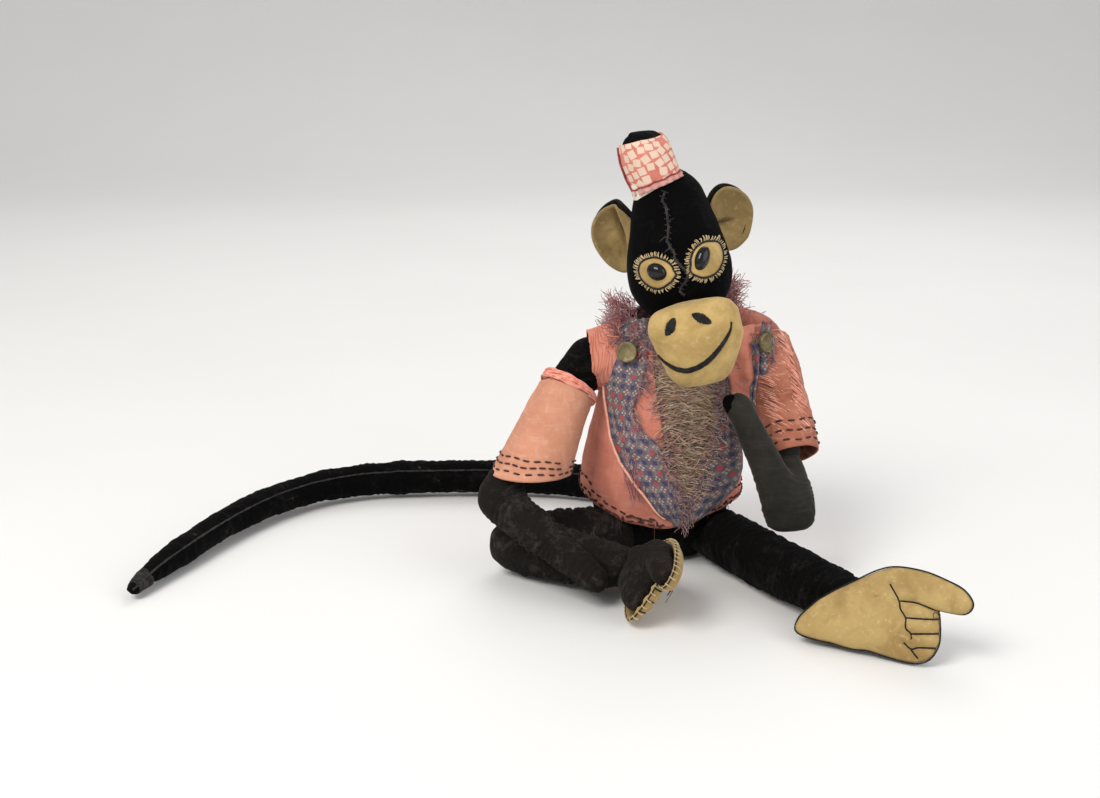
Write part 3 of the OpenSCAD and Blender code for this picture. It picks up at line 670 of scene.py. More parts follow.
def strands(name, lines, key, body=None, sides=0, cyclic=False):
    """Threads as one mesh: each line is a list of (point in mm, radius in mm)."""
    curve = bpy.data.curves.new(name, "CURVE")
    curve.dimensions = "3D"
    curve.bevel_depth = MM
    curve.bevel_resolution = sides
    curve.use_fill_caps = not cyclic
    curve.resolution_u = 1
    for line in lines:
        spline = curve.splines.new("POLY")
        spline.use_cyclic_u = cyclic
        spline.points.add(len(line) - 1)
        for place, (point, radius) in zip(spline.points, line):
            place.co = (*(Vector(point) * MM), 1)
            place.radius = radius
    source = bpy.data.objects.new(name, curve)
    bpy.context.scene.collection.objects.link(source)
    graph = bpy.context.evaluated_depsgraph_get()
    graph.update()
    mesh = bpy.data.meshes.new_from_object(source.evaluated_get(graph), depsgraph=graph)
    mesh.name = name
    bpy.data.objects.remove(source)
    bpy.data.curves.remove(curve)
    piece = bpy.data.objects.new(name, mesh)
    bpy.context.scene.collection.objects.link(piece)
    for polygon in mesh.polygons:
        polygon.use_smooth = True
    return dress(piece, key, body)


def even_line(points, step):
    """Points at equal steps along a line through given points, rounded at its corners."""
    fine = []
    count = len(points)
    for k in range(count - 1):
        a = Vector(points[max(k - 1, 0)])
        b = Vector(points[k])
        c = Vector(points[k + 1])
        d = Vector(points[min(k + 2, count - 1)])
        for s in range(12):
            t = s / 12
            fine.append(0.5 * ((2 * b) + (c - a) * t + (2 * a - 5 * b + 4 * c - d) * t * t
                               + (3 * b - a - 3 * c + d) * t ** 3))
    fine.append(Vector(points[-1]))
    out, run = [fine[0]], 0.0
    for a, b in zip(fine, fine[1:]):
        gap = (b - a).length
        while run + gap >= step and gap > 1e-9:
            a = a + (b - a) * ((step - run) / gap)
            out.append(a)
            gap = (b - a).length
            run = 0.0
        run += gap
    return out


def grid_cloth(name, across, along, place, flat, wrap=False):
    """A sheet of cloth from a grid: place(s, t) gives each point in mm, flat its cut size in mm."""
    bm = bmesh.new()
    bmesh.ops.create_grid(bm, x_segments=across, y_segments=along, size=0.5)
    layer = bm.loops.layers.uv.new("UVMap")
    spots = {}
    for vertex in bm.verts:
        spots[vertex] = (vertex.co.x + 0.5, vertex.co.y + 0.5)
    for face in bm.faces:
        for loop in face.loops:
            s, t = spots[loop.vert]
            loop[layer].uv = (s * flat[0] * MM, t * flat[1] * MM)
    for vertex, (s, t) in spots.items():
        vertex.co = Vector(place(s, t)) * MM
    if wrap:
        bmesh.ops.remove_doubles(bm, verts=bm.verts[:], dist=0.02 * MM)
    return new_piece(name, bm)


def thicken(piece, thickness, offset=0.0):
    """Gives a sheet its thickness in mm."""
    modify(piece, "SOLIDIFY", thickness=thickness * MM, offset=offset)
    return settle(piece)


def disc(rings, segments):
    """A flat round of cloth spun up from a line, one unit across its radius."""
    bm = bmesh.new()
    spine = [bm.verts.new((k / rings, 0, 0)) for k in range(rings + 1)]
    for a, b in zip(spine, spine[1:]):
        bm.edges.new((a, b))
    bmesh.ops.spin(bm, geom=bm.verts[:] + bm.edges[:], cent=(0, 0, 0), axis=(0, 0, 1), angle=math.tau,
                   steps=segments, use_merge=True, use_duplicate=False)
    bmesh.ops.remove_doubles(bm, verts=bm.verts[:], dist=1e-5)
    bmesh.ops.recalc_face_normals(bm, faces=bm.faces[:])
    return bm


def turned(name, profile, place, segments=40):
    """A turned piece: profile is (radius, height) in mm from the middle out, place its frame."""
    bm = bmesh.new()
    line = [bm.verts.new((r * MM, 0, h * MM)) for r, h in profile]
    for a, b in zip(line, line[1:]):
        bm.edges.new((a, b))
    bmesh.ops.spin(bm, geom=bm.verts[:] + bm.edges[:], cent=(0, 0, 0), axis=(0, 0, 1), angle=math.tau,
                   steps=segments, use_merge=True, use_duplicate=False)
    bmesh.ops.remove_doubles(bm, verts=bm.verts[:], dist=1e-6)
    bmesh.ops.recalc_face_normals(bm, faces=bm.faces[:])
    bmesh.ops.transform(bm, matrix=place, verts=bm.verts[:])
    return new_piece(name, bm)


def frame_at(origin, toward, up=(0, 0, 1)):
    """A frame in metres at a point in mm, its z axis pointing toward a direction."""
    z = Vector(toward).normalized()
    x = Vector(up).cross(z).normalized()
    y = z.cross(x)
    turn = Matrix((x, y, z)).transposed().to_4x4()
    return Matrix.Translation(Vector(origin) * MM) @ turn


# ------------------------------------------------------------------ head

HEAD = Matrix.Translation((9, -6, 146)) @ Matrix.Rotation(math.radians(-10), 4, "Y")
AHEAD = (HEAD.to_3x3() @ Vector((0, 1, 0))).normalized()
TREES = {}


def on_head(x, y, z):
    """A place in mm from one in the head's own frame."""
    return HEAD @ Vector((x, y, z))


def on_face(tree, x, z, lift=0.0):
    """The spot of the face straight behind (x, z) of the head's frame, with its normal."""
    return drop_on(tree, on_head(x, -140, z), AHEAD, lift)


def satin(tree, line, width, slant, step, size, lift=0.5):
    """Satin stitches side by side across a line on the face, given as (x, z) points."""
    lines = []
    path = even_line([(x, 0, z) for x, z in line], step)
    for k, spot in enumerate(path):
        share = k / max(1, len(path) - 1)
        ahead = path[min(k + 1, len(path) - 1)] - path[max(k - 1, 0)]
        across = Vector((-ahead.z, 0, ahead.x)).normalized()
        across = (across + ahead.normalized() * slant).normalized()
        half = width(share) * (0.9 + 0.2 * random.random()) / 2
        stitch = []
        for j in range(5):
            t = j / 4 * 2 - 1
            rise = lift * (1 - t * t) - 0.25 * t * t
            point, _ = on_face(tree, spot.x + across.x * half * t, spot.z + across.z * half * t, rise)
            stitch.append((point, size * (1 - 0.35 * abs(t))))
        lines.append(stitch)
    return lines


def make_head():
    head = stuffed("velvet_head", [[
        (on_head(0.8, -11, 56.5), 19.6), (on_head(0, -27, 30), 26.8),
        (on_head(0, -27, 22), 27.8), (on_head(0, -6, 19), 24.6)]], 4.0, cap=0.9, shrink=-0.6)
    rumple(head, (26, 0.5), (9, 0.25), seed=3)
    TREES["head"] = tree_of(head)
    dress(head, "head velvet", "head")
    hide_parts("head_cover")


def make_head_seam():
    tree = TREES["head"]
    path = even_line([(x, 0, z) for x, z in (
        (-1.5, 66), (-3.3, 62.5), (-2.4, 57), (-3.4, 49), (-4.8, 44), (-3.1, 38), (-2.8, 35), (0.4, 29),
        (2.6, 26.4), (0.4, 22.4), (-2.6, 18.4), (-0.8, 14.5))], 0.9)
    ridge, whips = [], []
    for k, spot in enumerate(path):
        wobble = smooth_noise(spot, 3.0, 5) * 0.5
        point, _ = on_face(tree, spot.x + wobble, spot.z, 0.25)
        ridge.append((point, 0.62 + 0.25 * smooth_noise(spot, 2.2, 9)))
        if k % 3 == 0:
            ends = []
            for t in (-1, 0, 1):
                reach = 1.3 + 0.5 * random.random()
                point, _ = on_face(tree, spot.x + t * reach, spot.z - t * 0.9, 0.75 if t == 0 else 0.0)
                ends.append((point, 0.24))
            whips.append(ends)
    for root, tip in (((-4.4, 45.5), (-9.5, 44.2)), ((-3.3, 40), (-8.0, 38.8)), ((0.5, 29), (3.4, 30.6)),
                      ((1.8, 25), (5.0, 27)), ((-2.5, 52), (0.8, 54)), ((-1.6, 33), (-5.2, 31.5))):
        crease = []
        for j in range(6):
            t = j / 5
            x = root[0] + (tip[0] - root[0]) * t
            z = root[1] + (tip[1] - root[1]) * t + math.sin(t * 5) * 0.4
            point, _ = on_face(tree, x, z, 0.05)
            crease.append((point, 0.45 * (1 - t) + 0.1))
        whips.append(crease)
    seam = strands("raised_head_seam", [ridge], "seam", "head", sides=2)
    strands("head_seam_whipping", whips, "seam", "head")
    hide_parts("head_seam")


def make_muzzle():
    muzzle = stuffed("muzzle_cushion", [[
        (on_head(-14.0, -65, 2.5), 10.6), (on_head(15.6, -64, 4.5), 10.4), (on_head(15.5, -64, -6), 11.0),
        (on_head(-5.5, -62, -20), 12.5), (on_head(7.5, -62, -20), 12.5),
        (on_head(0.5, -66, -8), 14.5), (on_head(0, -48, -4), 16)]], 3.2, cap=1.6)
    rumple(muzzle, (18, 0.5), (6, 0.18), seed=11)
    TREES["muzzle"] = tree_of(muzzle)
    dress(muzzle, "tan", "head")
    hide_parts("muzzle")
    tree = TREES["muzzle"]
    stitches = satin(tree, ((-19.4, -10.6), (-17, -14), (-11.6, -18), (-5.3, -19.2), (3.2, -16.2),
                            (11.4, -10.1),
                            (17.6, -3.2), (19.2, 1.4)),
                     lambda t: 0.7 + 3.1 * math.sin(math.pi * min(1, t * 1.05)) ** 0.7, 0.5, 0.42, 0.42)
    stitches += satin(tree, ((-14.3, 1.2), (-12.4, 3.4), (-10.0, 6.4), (-8.6, 8.4)),
                      lambda t: 1.4 + 4.0 * math.sin(math.pi * t) ** 0.8, 0.2, 0.42, 0.42)
    stitches += satin(tree, ((0.6, 8.6), (3.2, 7.2), (6.2, 5.0), (8.8, 3.4)),
                      lambda t: 1.3 + 3.6 * math.sin(math.pi * t) ** 0.8, 0.2, 0.42, 0.42)
    face = strands("mouth_and_nostril_stitches", stitches, "black thread", "head")
    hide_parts("face_embroidery")


EYES = (
    ("right", -13.0, 28.9, ((8.4, 2), (7.2, 60), (7.4, 100), (8.2, 150), (8.2, 185), (8.0, 230), (8.3, 268),
                            (7.8, 300), (8.6, 330), (9.6, 345)), (-0.3, 0.6), (5.3, 4.0), -12),
    ("left", 12.8, 31.0, ((9.4, 0), (9.8, 35), (8.6, 70), (8.0, 110), (7.8, 150), (8.0, 180), (9.6, 207),
                          (9.0, 235), (8.6, 270), (8.8, 315)), (-1.6, 1.6), (6.3, 3.6), 62),
)


def eye_rim(corners, turn):
    """Radius of an eye patch in a direction, from its corner list of (radius, degrees)."""
    turn %= 360
    count = len(corners)
    for k in range(count):
        r0, a0 = corners[k]
        r1, a1 = corners[(k + 1) % count]
        span = (a1 - a0) % 360
        gone = (turn - a0) % 360
        if gone <= span:
            t = gone / span
            t = t * t * (3 - 2 * t)
            return r0 + (r1 - r0) * t
    return corners[0][0]


def make_eyes():
    tree = TREES["head"]
    spokes, rings = [], []
    for side, cx, cz, corners, pupil, axes, tilt in EYES:
        bm = disc(8, 48)
        for vertex in bm.verts:
            reach = math.hypot(vertex.co.x, vertex.co.y)
            turn = math.degrees(math.atan2(vertex.co.y, vertex.co.x))
            rim = eye_rim(corners, turn)
            x = cx + rim * reach * math.cos(math.radians(turn))
            z = cz + rim * reach * math.sin(math.radians(turn))
            rise = 0.15 + 0.95 * (1 - reach ** 3)
            vertex.co = on_face(tree, x, z, rise)[0] * MM
        bmesh.ops.recalc_face_normals(bm, faces=bm.faces[:])
        patch = new_piece("eye_patch_cloth_" + side, bm)
        if patch.data.polygons[0].normal.dot(AHEAD) > 0:
            patch.data.flip_normals()
        thicken(patch, 0.7)
        TREES["patch"] = tree_of(patch)
        dress(patch, "tan", "head")
        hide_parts("eye_patch_" + side)
        ring = []
        for k in range(73):
            turn = k * 5
            rim = eye_rim(corners, turn) + 0.25
            x = cx + rim * math.cos(math.radians(turn))
            z = cz + rim * math.sin(math.radians(turn))
            ring.append((on_face(tree, x, z, 0.6)[0], 0.52))
        rings.append(ring)
        count = 66
        for k in range(count):
            turn = 360 * k / count + random.uniform(-1.6, 1.6)
            rim = eye_rim(corners, turn)
            inner = rim + 0.5 + random.uniform(-0.2, 0.3)
            outer = rim + 2.7 + random.uniform(-0.5, 0.6)
            lean = turn + random.uniform(-5, 5)
            spoke = []
            for j in range(5):
                t = j / 4
                r = inner + (outer - inner) * t
                a = math.radians(turn + (lean - turn) * t)
                lift = 0.15 + 0.75 * math.sin(math.pi * t)
                spoke.append((on_face(tree, cx + r * math.cos(a), cz + r * math.sin(a), lift)[0], 0.31))
            spokes.append(spoke)
        px, pz = cx + pupil[0], cz + pupil[1]
        spot, normal = on_face(TREES["patch"], px, pz, 0.1)
        place = frame_at(spot, normal)
        a, b = axes
        button = turned("boot_button_" + side, ((0, 2.6), (0.3, 2.55), (0.6, 2.2), (0.85, 1.4), (0.97, 0.6),
                                                (1.0, 0.2), (0.9, -0.4), (0, -0.4)), Matrix.Identity(4), 48)
        squeeze = Matrix.Diagonal((a, b, 1, 1))
        turn = Matrix.Rotation(math.radians(tilt), 4, "Z")
        button.data.transform(place @ turn @ squeeze)
        button.data.update()
        dress(button, "glass", "head")
        if side == "right":
            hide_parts("eye_buttons")
        rim_line = []
        for k in range(41):
            angle = math.tau * k / 40
            flat = place @ turn @ Vector((a * 1.04 * math.cos(angle) * MM, b * 1.04 * math.sin(angle) * MM,
                                          0.1 * MM))
            rim_line.append((cling(TREES["patch"], flat / MM, 0.15)[0], 0.32))
        rings.append(rim_line)
    sewing = strands("eye_rim_stitches", spokes, "cream thread", "head")
    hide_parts("eye_stitching")
    strands("eye_outlines", rings, "black thread", "head", sides=1)


def ear_shape(side, x, y, layer):
    """A point of an ear in mm, from its place on a unit round; layer 0 is the front cloth, 1 the back."""
    reach = math.hypot(x, y)
    turn = math.atan2(y, x)
    grow = 1.0 + 0.01 * layer
    broad = 11.6 + 1.0 * math.sin(turn + 0.5) + 0.7 * math.sin(2 * turn + 1.0)
    tall = (19.6 if side < 0 else 18.2) + 1.4 * math.cos(turn * 2 + 0.6)
    u = reach * math.cos(turn) * broad * grow
    w = reach * math.sin(turn) * tall * grow
    depth = 4.2 * (1 - reach ** 2) - 2.6 * max(0.0, math.cos(turn)) * reach ** 4
    if side < 0:
        fold = math.exp(-((u + 2.4 + w * 0.12) / (1.7 + 2.4 * layer)) ** 2)
        depth += (5.0 + layer) * (fold * max(0.0, min(1.0, (w + 14) / 14)))
        depth -= 2.6 * math.exp(-((u + 7.0) / 3.4) ** 2) * reach
    else:
        fold = math.exp(-((w + 2.2 - u * 0.15) / (1.6 + 2.4 * layer)) ** 2) * max(0.0, min(1.0, (7 - u) / 8))
        depth += (4.6 + layer) * fold
        depth -= 2.0 * math.exp(-((w + 9.0) / 4.5) ** 2) * reach
    depth += 2.4 * layer + 0.5 * smooth_noise(Vector((u, w, side * 9)), 7)
    return u, depth, w


def make_ears():
    for side, name in ((-1, "right"), (1, "left")):
        turn = Matrix.Rotation(math.radians(side * 14), 4, "Y") @ Matrix.Rotation(math.radians(side * 16),
                                                                                  4, "Z")
        centre = (-29.0, -10, 42.5) if side < 0 else (31.0, -9, 43.0)
        place = HEAD @ Matrix.Translation(centre) @ turn
        for layer, word in ((0, "front"), (1, "back")):
            bm = disc(14, 56)
            for vertex in bm.verts:
                u, depth, w = ear_shape(side, vertex.co.x, vertex.co.y, layer)
                edge = layer * vertex.co.xy.length ** 4
                vertex.co = (place @ Vector((side * (u - 1.6 * edge), depth, w + 1.2 * edge))) * MM
            bmesh.ops.recalc_face_normals(bm, faces=bm.faces[:])
            ear = new_piece(f"ear_{word}_cloth_{name}", bm)
            thicken(ear, 1.4)
            dress(ear, "ear tan" if layer == 0 else "brown sheen velvet", "head")
            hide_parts(f"ear_{word}_{name}")


HAT = HEAD @ Matrix.Translation((-4.0, -14, 70.5)) @ Matrix.Rotation(math.radians(-13), 4, "Y") \
    @ Matrix.Rotation(math.radians(-3), 4, "X")


def hat_place(turn, height, out=0.0):
    """A place on the hat's side: turn runs from its right edge round the front, height from rim to top."""
    swell = 12.9 + 0.9 * math.sin(math.pi * min(1, height / 28)) - 0.4 * (height / 28) ** 2
    dent = 0.35 * math.sin(turn * 3 + height * 0.2) + 0.25 * math.sin(turn * 7 + 1)
    r = swell + dent * 0.8 + out
    top = height + (0.8 * math.sin(turn * 2 + 0.7) if height > 20 else 0.0)
    r *= 1.0 - 0.16 * max(0.0, (height - 15) / 11) ** 2
    top -= 2.6 * max(0.0, -math.cos(turn)) * max(0.0, (height - 10) / 15)
    return HAT @ Vector((-r * math.cos(turn), -r * math.sin(turn), top))


def make_hat():
    band = grid_cloth("hat_band_cloth", 72, 20, lambda s, t: hat_place(s * math.tau, -1 + t * 25),
                      (85, 25), wrap=True)
    thicken(band, 1.0)
    dress(band, "fez", "head")
    strip = grid_cloth("hat_side_strip", 6, 24, lambda s, t: hat_place(-0.10 + s * 0.30, t * 23.5, 0.9),
                       (10, 24))
    thicken(strip, 0.5)
    dress(strip, "wine strip", "head")
    ruffle = grid_cloth("hat_ruffle", 120, 4, lambda s, t: hat_place(
        s * math.tau, -2.6 + t * 3.4, 0.7 + (1 - t) * (0.7 + 0.7 * math.sin(s * math.tau * 19))), (100, 10),
        wrap=True)
    thicken(ruffle, 0.5)
    dress(ruffle, "pale rose", "head")
    lines = [[(hat_place(math.tau * k / 60, 0.6 + 0.3 * math.sin(k), 1.0), 0.5) for k in range(61)]]
    lines.append([(hat_place(0.22 + 0.02 * math.sin(k), 23.5 * k / 16, 1.2), 0.55) for k in range(17)])
    piping = strands("hat_piping", lines, "wine thread", "head", sides=1)
    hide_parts("hat_band")
    crown = stuffed("hat_crown_velvet", [[(HAT @ Vector((x, y, 20.5)), 5.5) for x, y in (
        (7.6, 0), (0, 7.6), (-7.6, 0), (0, -7.6), (5.2, 5.2), (-5.2, 5.2), (5.2, -5.2), (-5.2, -5.2))]
        + [(HAT @ Vector((-2, 0, 22.5)), 7.6)]], 2.4, cap=1.2)
    rumple(crown, (5, 0.7), (2.4, 0.3), seed=21)
    dress(crown, "black velvet", "head")
    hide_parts("hat_crown")


MAKERS["wine strip"] = lambda: cotton("wine and cream strip", "fez_print", (0.5, 0.1, 0.07),
                                      (0.25, 0.04, 0.035),
                                      (0.8, 0.55, 0.45), 0.5, 1.0)


# ------------------------------------------------------------------ stage


def make_stage(sizes):
    bm = bmesh.new()
    sweep = [(-4.0, 0.0), (1.6, 0.0)]
    sweep += [(1.6 + 1.2 * math.sin(a), 1.2 - 1.2 * math.cos(a))
              for a in [k * math.pi / 24 for k in range(1, 13)]]
    sweep += [(2.8, 5.0)]
    line = [bm.verts.new((-6.0, y, z)) for y, z in sweep]
    edges = [bm.edges.new(pair) for pair in zip(line, line[1:])]
    made = bmesh.ops.extrude_edge_only(bm, edges=edges)
    for vertex in made["geom"]:
        if isinstance(vertex, bmesh.types.BMVert):
            vertex.co.x = 6.0
    bmesh.ops.recalc_face_normals(bm, faces=bm.faces[:])
    floor = new_piece("pale_floor", bm)
    floor.data.materials.append(floor_finish().material)
    camera = bpy.data.objects.new("camera", bpy.data.cameras.new("camera"))
    bpy.context.scene.collection.objects.link(camera)
    camera.data.lens = sizes.focal
    camera.data.sensor_width = 36
    camera.data.clip_end = 20
    camera.location = at(-63.8, -833.4, 312.8)
    camera.rotation_euler = (math.radians(75), 0, 0)
    bpy.context.scene.camera = camera
    for name, spot, aim, size, power, colour in (
            ("key", (-900, -1100, 1500), (0, -20, 90), 0.9, 26, (1.0, 0.98, 0.95)),
            ("fill", (1300, -900, 900), (20, -20, 80), 1.4, 11, (0.95, 0.97, 1.0)),
            ("back", (200, 1200, 1400), (0, 0, 90), 1.2, 9, (1, 1, 1))):
        light = bpy.data.lights.new(name, "AREA")
        light.size = size
        light.energy = power
        light.color = colour
        lamp = bpy.data.objects.new(name, light)
        lamp.location = at(*spot)
        aim_way = (at(*aim) - at(*spot)).normalized()
        lamp.rotation_euler = aim_way.to_track_quat("-Z", "Y").to_euler()
        bpy.context.scene.collection.objects.link(lamp)
    world = bpy.data.worlds.new("studio")
    world.use_nodes = True
    world.node_tree.nodes["Background"].inputs[0].default_value = (0.93, 0.94, 0.96, 1)
    world.node_tree.nodes["Background"].inputs[1].default_value = 0.55
    bpy.context.scene.world = world
    bpy.context.scene.view_settings.view_transform = "Standard"


# ------------------------------------------------------------------ body and jacket


def between(points, z):
    """The first value of a line of (value, z) points at a height."""
    points = sorted(points, key=lambda p: p[1])
    if z <= points[0][1]:
        return points[0][0]
    for (x0, z0), (x1, z1) in zip(points, points[1:]):
        if z <= z1:
            return x0 + (x1 - x0) * (z - z0) / (z1 - z0)
    return points[-1][0]


R_OUT = ((4, 30), (-4, 36), (-14, 49), (-22.6, 61), (-27.4, 74), (-30, 95.6), (-30.5, 112), (-29, 126),
         (-25, 138))
R_LAP = ((9, 30), (7, 44), (2, 57), (-1, 64), (-3, 71.5), (-11, 78.6), (-15.5, 86), (-17, 92), (-12.5, 104),
         (-10, 120), (-9, 138))
R_IN = ((9, 30), (6, 46), (1, 57), (-1.5, 66), (-2.5, 82), (-4.5, 92), (-7, 112), (-9, 138))
L_IN = ((9.5, 30), (12, 43), (17.4, 53.4), (22.8, 70), (27, 86), (29, 110), (30, 138))
L_OUT = ((13, 30), (25, 36), (35, 43), (41.5, 52), (41.5, 61), (38, 72), (35, 86), (35, 110), (37, 138))


def make_form():
    bm = bmesh.new()
    stretch_over(bm, [((0, 5, 44), 43.8), ((-4, 0, 108), 27.8), ((16, 0, 108), 27.8)])
    form = new_piece("dress_form", bm)
    remesh(form, 3.0, 4)
    TREES["form"] = tree_of(form)
    bpy.data.objects.remove(form)


def axis_at(z):
    t = max(0.0, min(1.0, (z - 44) / 64))
    return 6 * t, 5 - 5 * t


def round_form(turn, z, lift=0.0):
    """A place on the form in a direction from its middle: 180 is the doll's right, 270 ahead."""
    ax, ay = axis_at(z)
    out = Vector((math.cos(math.radians(turn)), math.sin(math.radians(turn)), 0))
    return drop_on(TREES["form"], Vector((ax, ay, z)) + out * 160, -out, lift)[0]


def on_form(x, z, lift=0.0):
    tree = TREES["form"]
    if tree.ray_cast(at(x, -200, z), (0, 1, 0))[0] is None:
        return cling(tree, (x, -6, z), lift)[0]
    return drop_on(tree, (x, -200, z), (0, 1, 0), lift)[0]


def front_turn(x, z):
    ax, ay = axis_at(z)
    spot = on_form(x, z)
    return math.degrees(math.atan2(spot.y - ay, spot.x - ax)) % 360


def hem_at(turn):
    """Height of the jacket's hem in a direction: it hangs lowest ahead, between the legs."""
    x = 42 * math.cos(math.radians(turn))
    if math.sin(math.radians(turn)) > 0:
        return 34
    return between(((36.5, -46), (37.5, -41), (34.5, -36), (31.5, -30), (28, -20), (26.5, -8), (27, 2),
                    (29.5, 10), (33.5, 25), (36, 34), (35, 46)), x)


def cloth_lift(spot, low):
    """How far the jacket stands off the body: soft folds that open towards the hem."""
    open_out = max(0.0, min(1.0, (80 - spot.z) / 50))
    fold = smooth_noise(Vector((spot.x, spot.y * 1.0, spot.z * 0.28)), 15, 31) * (1.0 + 1.6 * open_out)
    fold += smooth_noise(spot, 6, 33) * 0.45
    return 1.3 + fold * 0.8 + open_out * 1.0 + (0.5 if low else 0.0)


def jacket_panel(name, start, edge, across, along, top, flat):
    """One piece of the jacket from a side seam to its front edge, or to a direction in degrees."""
    def turn_at(s, z):
        stop = edge if isinstance(edge, float) else front_turn(between(edge, z), z)
        return start + (stop - start) * s

    def place(s, t):
        low = hem_at(turn_at(s, 30 + (top - 30) * t))
        z = low + (top - low) * t
        turn = turn_at(s, z)
        return round_form(turn, z, cloth_lift(round_form(turn, z), t < 0.05))
    piece = grid_cloth(name + "_cloth", across, along, place, flat)
    thicken(piece, 1.1)
    dress(piece, "coral", "torso")
    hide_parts(name)
    return piece


def frayed(name, bases, reach, key, body, size=0.3, curl=0.5, droop=0.0, joints=5):
    """Loose thread ends: bases is a list of (point, direction) in mm."""
    lines = []
    for spot, way in bases:
        way = Vector(way).normalized()
        length = reach * random.uniform(0.45, 1.25)
        bend = Vector((random.uniform(-1, 1), random.uniform(-1, 1), random.uniform(-1, 1))) * curl
        line, here = [], Vector(spot)
        for j in range(joints):
            line.append((here.copy(), size * (1 - 0.5 * j / joints)))
            way = (way + bend * 0.3 + Vector((0, 0, -droop * 0.3))
                   + Vector([random.uniform(-0.18, 0.18) for _ in range(3)])).normalized()
            here = here + way * (length / (joints - 1))
        lines.append(line)
    return strands(name, lines, key, body)


STITCH_STEP = 0.75


def dashes(rows, sizes):
    """Running stitches along lines of points that lie on cloth."""
    size = 0.55
    per = round(sizes.stitch_pitch / MM / STITCH_STEP)
    keep = round(sizes.stitch_dash / MM / STITCH_STEP)
    lines = []
    for row in rows:
        path = even_line(row, STITCH_STEP)
        shift = random.randrange(per)
        for k in range(shift, len(path) - keep, per + random.choice((-1, 0, 0, 1))):
            stitch = path[k:k + keep + 1]
            lines.append([(p, size * (0.55 if j in (0, len(stitch) - 1) else 1.0))
                          for j, p in enumerate(stitch)])
    return lines


def make_torso():
    seat = [((29 * math.cos(a), 8 + 29 * math.sin(a), 5), 4.5)
            for a in [k * math.tau / 10 for k in range(10)]]
    body = stuffed("torso_velvet", [
        seat + [((0, 5, 44), 42), ((-4, 0, 108), 26), ((16, 0, 108), 26)],
        [((8, -6, 120), 13.5), ((8, -6, 140), 13.5)]], 4.0, cap=0.4, shrink=-0.5, smoothing=2)
    rumple(body, (30, 0.7), (10, 0.4), seed=41)
    shape(body, above_floor(1.0))
    dress(body, "black velvet", "torso")
    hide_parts("torso_cover")


def make_jacket(sizes):
    make_form()
    jacket_panel("jacket_back", 0.0, 180.0, 64, 40, 132, (118, 120))
    right = jacket_panel("jacket_front_right", 180, R_IN, 44, 48, 130, (58, 116))
    left = jacket_panel("jacket_front_left", 360, L_IN, 44, 48, 130, (44, 108))
    TREES["right front"] = tree_of(right)
    TREES["left front"] = tree_of(left)
    rows = []
    for up in (2.6, 5.6, 8.6):
        for start, edge, steps in ((180, R_OUT, 40), (360, L_OUT, 30)):
            low = hem_at(start + (front_turn(between(edge, 34), 34) - start))
            stop = front_turn(between(edge, low + up), low + up)
            row = []
            for k in range(steps + 1):
                turn = start + (stop - start) * k / steps
                z = hem_at(turn) + up + 0.3 * math.sin(k * 0.9)
                spot = round_form(turn, z, 30)
                tree = TREES["right front"] if start == 180 else TREES["left front"]
                ax, ay = axis_at(z)
                row.append(drop_on(tree, spot, Vector((ax - spot.x, ay - spot.y, 0)), 0.35)[0])
            rows.append(row)
        rows.append([round_form(180 - 180 * k / 40, hem_at(90) + up, 3.4) for k in range(41)])
    hem = strands("hem_running_stitch", dashes(rows, sizes), "brown thread", "torso", sides=1)
    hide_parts("hem_stitching")
    edge = [(on_form(between(R_OUT, z) - 0.6, z, 3.9), 0.75) for z in [33 + 2.2 * k for k in range(42)]]
    strands("lapel_piping", [edge], "peach thread", "torso", sides=2)
    hanging = []
    for x, z in ((-24, 29), (-22.5, 29.5), (-6, 27.5), (33, 36), (22, 34)):
        spot = on_form(x, z + 2, 3.2)
        hanging.append((spot, (0.05, -0.5, -1)))
    frayed("loose_hem_threads", hanging, 9, "brown thread", "torso", 0.25, 0.25, 1.0)


def lapel(name, inner, outer, low, high, flat, lift, across=16, along=70):
    def place(s, t):
        z = low + (high - low) * t
        x0, x1 = between(inner, z), between(outer, z)
        spot = on_form(x0 + (x1 - x0) * s, z)
        swell = 1.4 * math.sin(math.pi * s) + 0.9 * smooth_noise(spot, 9, 51)
        swell += 0.4 * smooth_noise(spot, 4, 52)
        return on_form(x0 + (x1 - x0) * s, z, lift + cloth_lift(spot, False) + swell)
    piece = grid_cloth(name + "_cloth", across, along, place, flat)
    thicken(piece, 0.9)
    dress(piece, "calico", "torso")
    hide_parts(name)
    return piece


def make_lapels():
    right = lapel("lapel_right", R_LAP, R_OUT, 29, 134, (27, 118), 1.6)
    left = lapel("lapel_left", L_IN, L_OUT, 31, 128, (19, 112), 1.7)
    for word, inner, side, high in (("right", R_LAP, 1, 132), ("left", L_IN, -1, 126)):
        for key, count in (("rose thread", 120), ("grey thread", 130), ("cream fray", 80)):
            bases = []
            for _ in range(count):
                z = random.uniform(30, high)
                if side > 0 and 70 < z < 102 and random.random() < 0.75:
                    continue
                x = between(inner, z) + random.uniform(-3.0, 1.0) * side
                bases.append((on_form(x, z, 4.2 + random.uniform(-0.6, 1.0)),
                              (side * random.uniform(0.1, 1), -0.25, random.uniform(-1.0, 0.4))))
            frayed(f"lapel_fray_{word}_{key.split()[0]}", bases, 7, key, "torso", 0.22, 0.5, 0.6)
    bases = []
    for _ in range(150):
        z = random.uniform(50, 92)
        x = between(((-21, 50), (-23, 62), (-24, 74), (-22, 92)), z) + random.uniform(0, 9)
        bases.append((on_form(x, z, 4.0 + random.uniform(0, 1.2)), (0.35, -0.1, -1)))
    frayed("lapel_long_threads", bases, 13, "rose thread", "torso", 0.2, 0.25, 0.5)


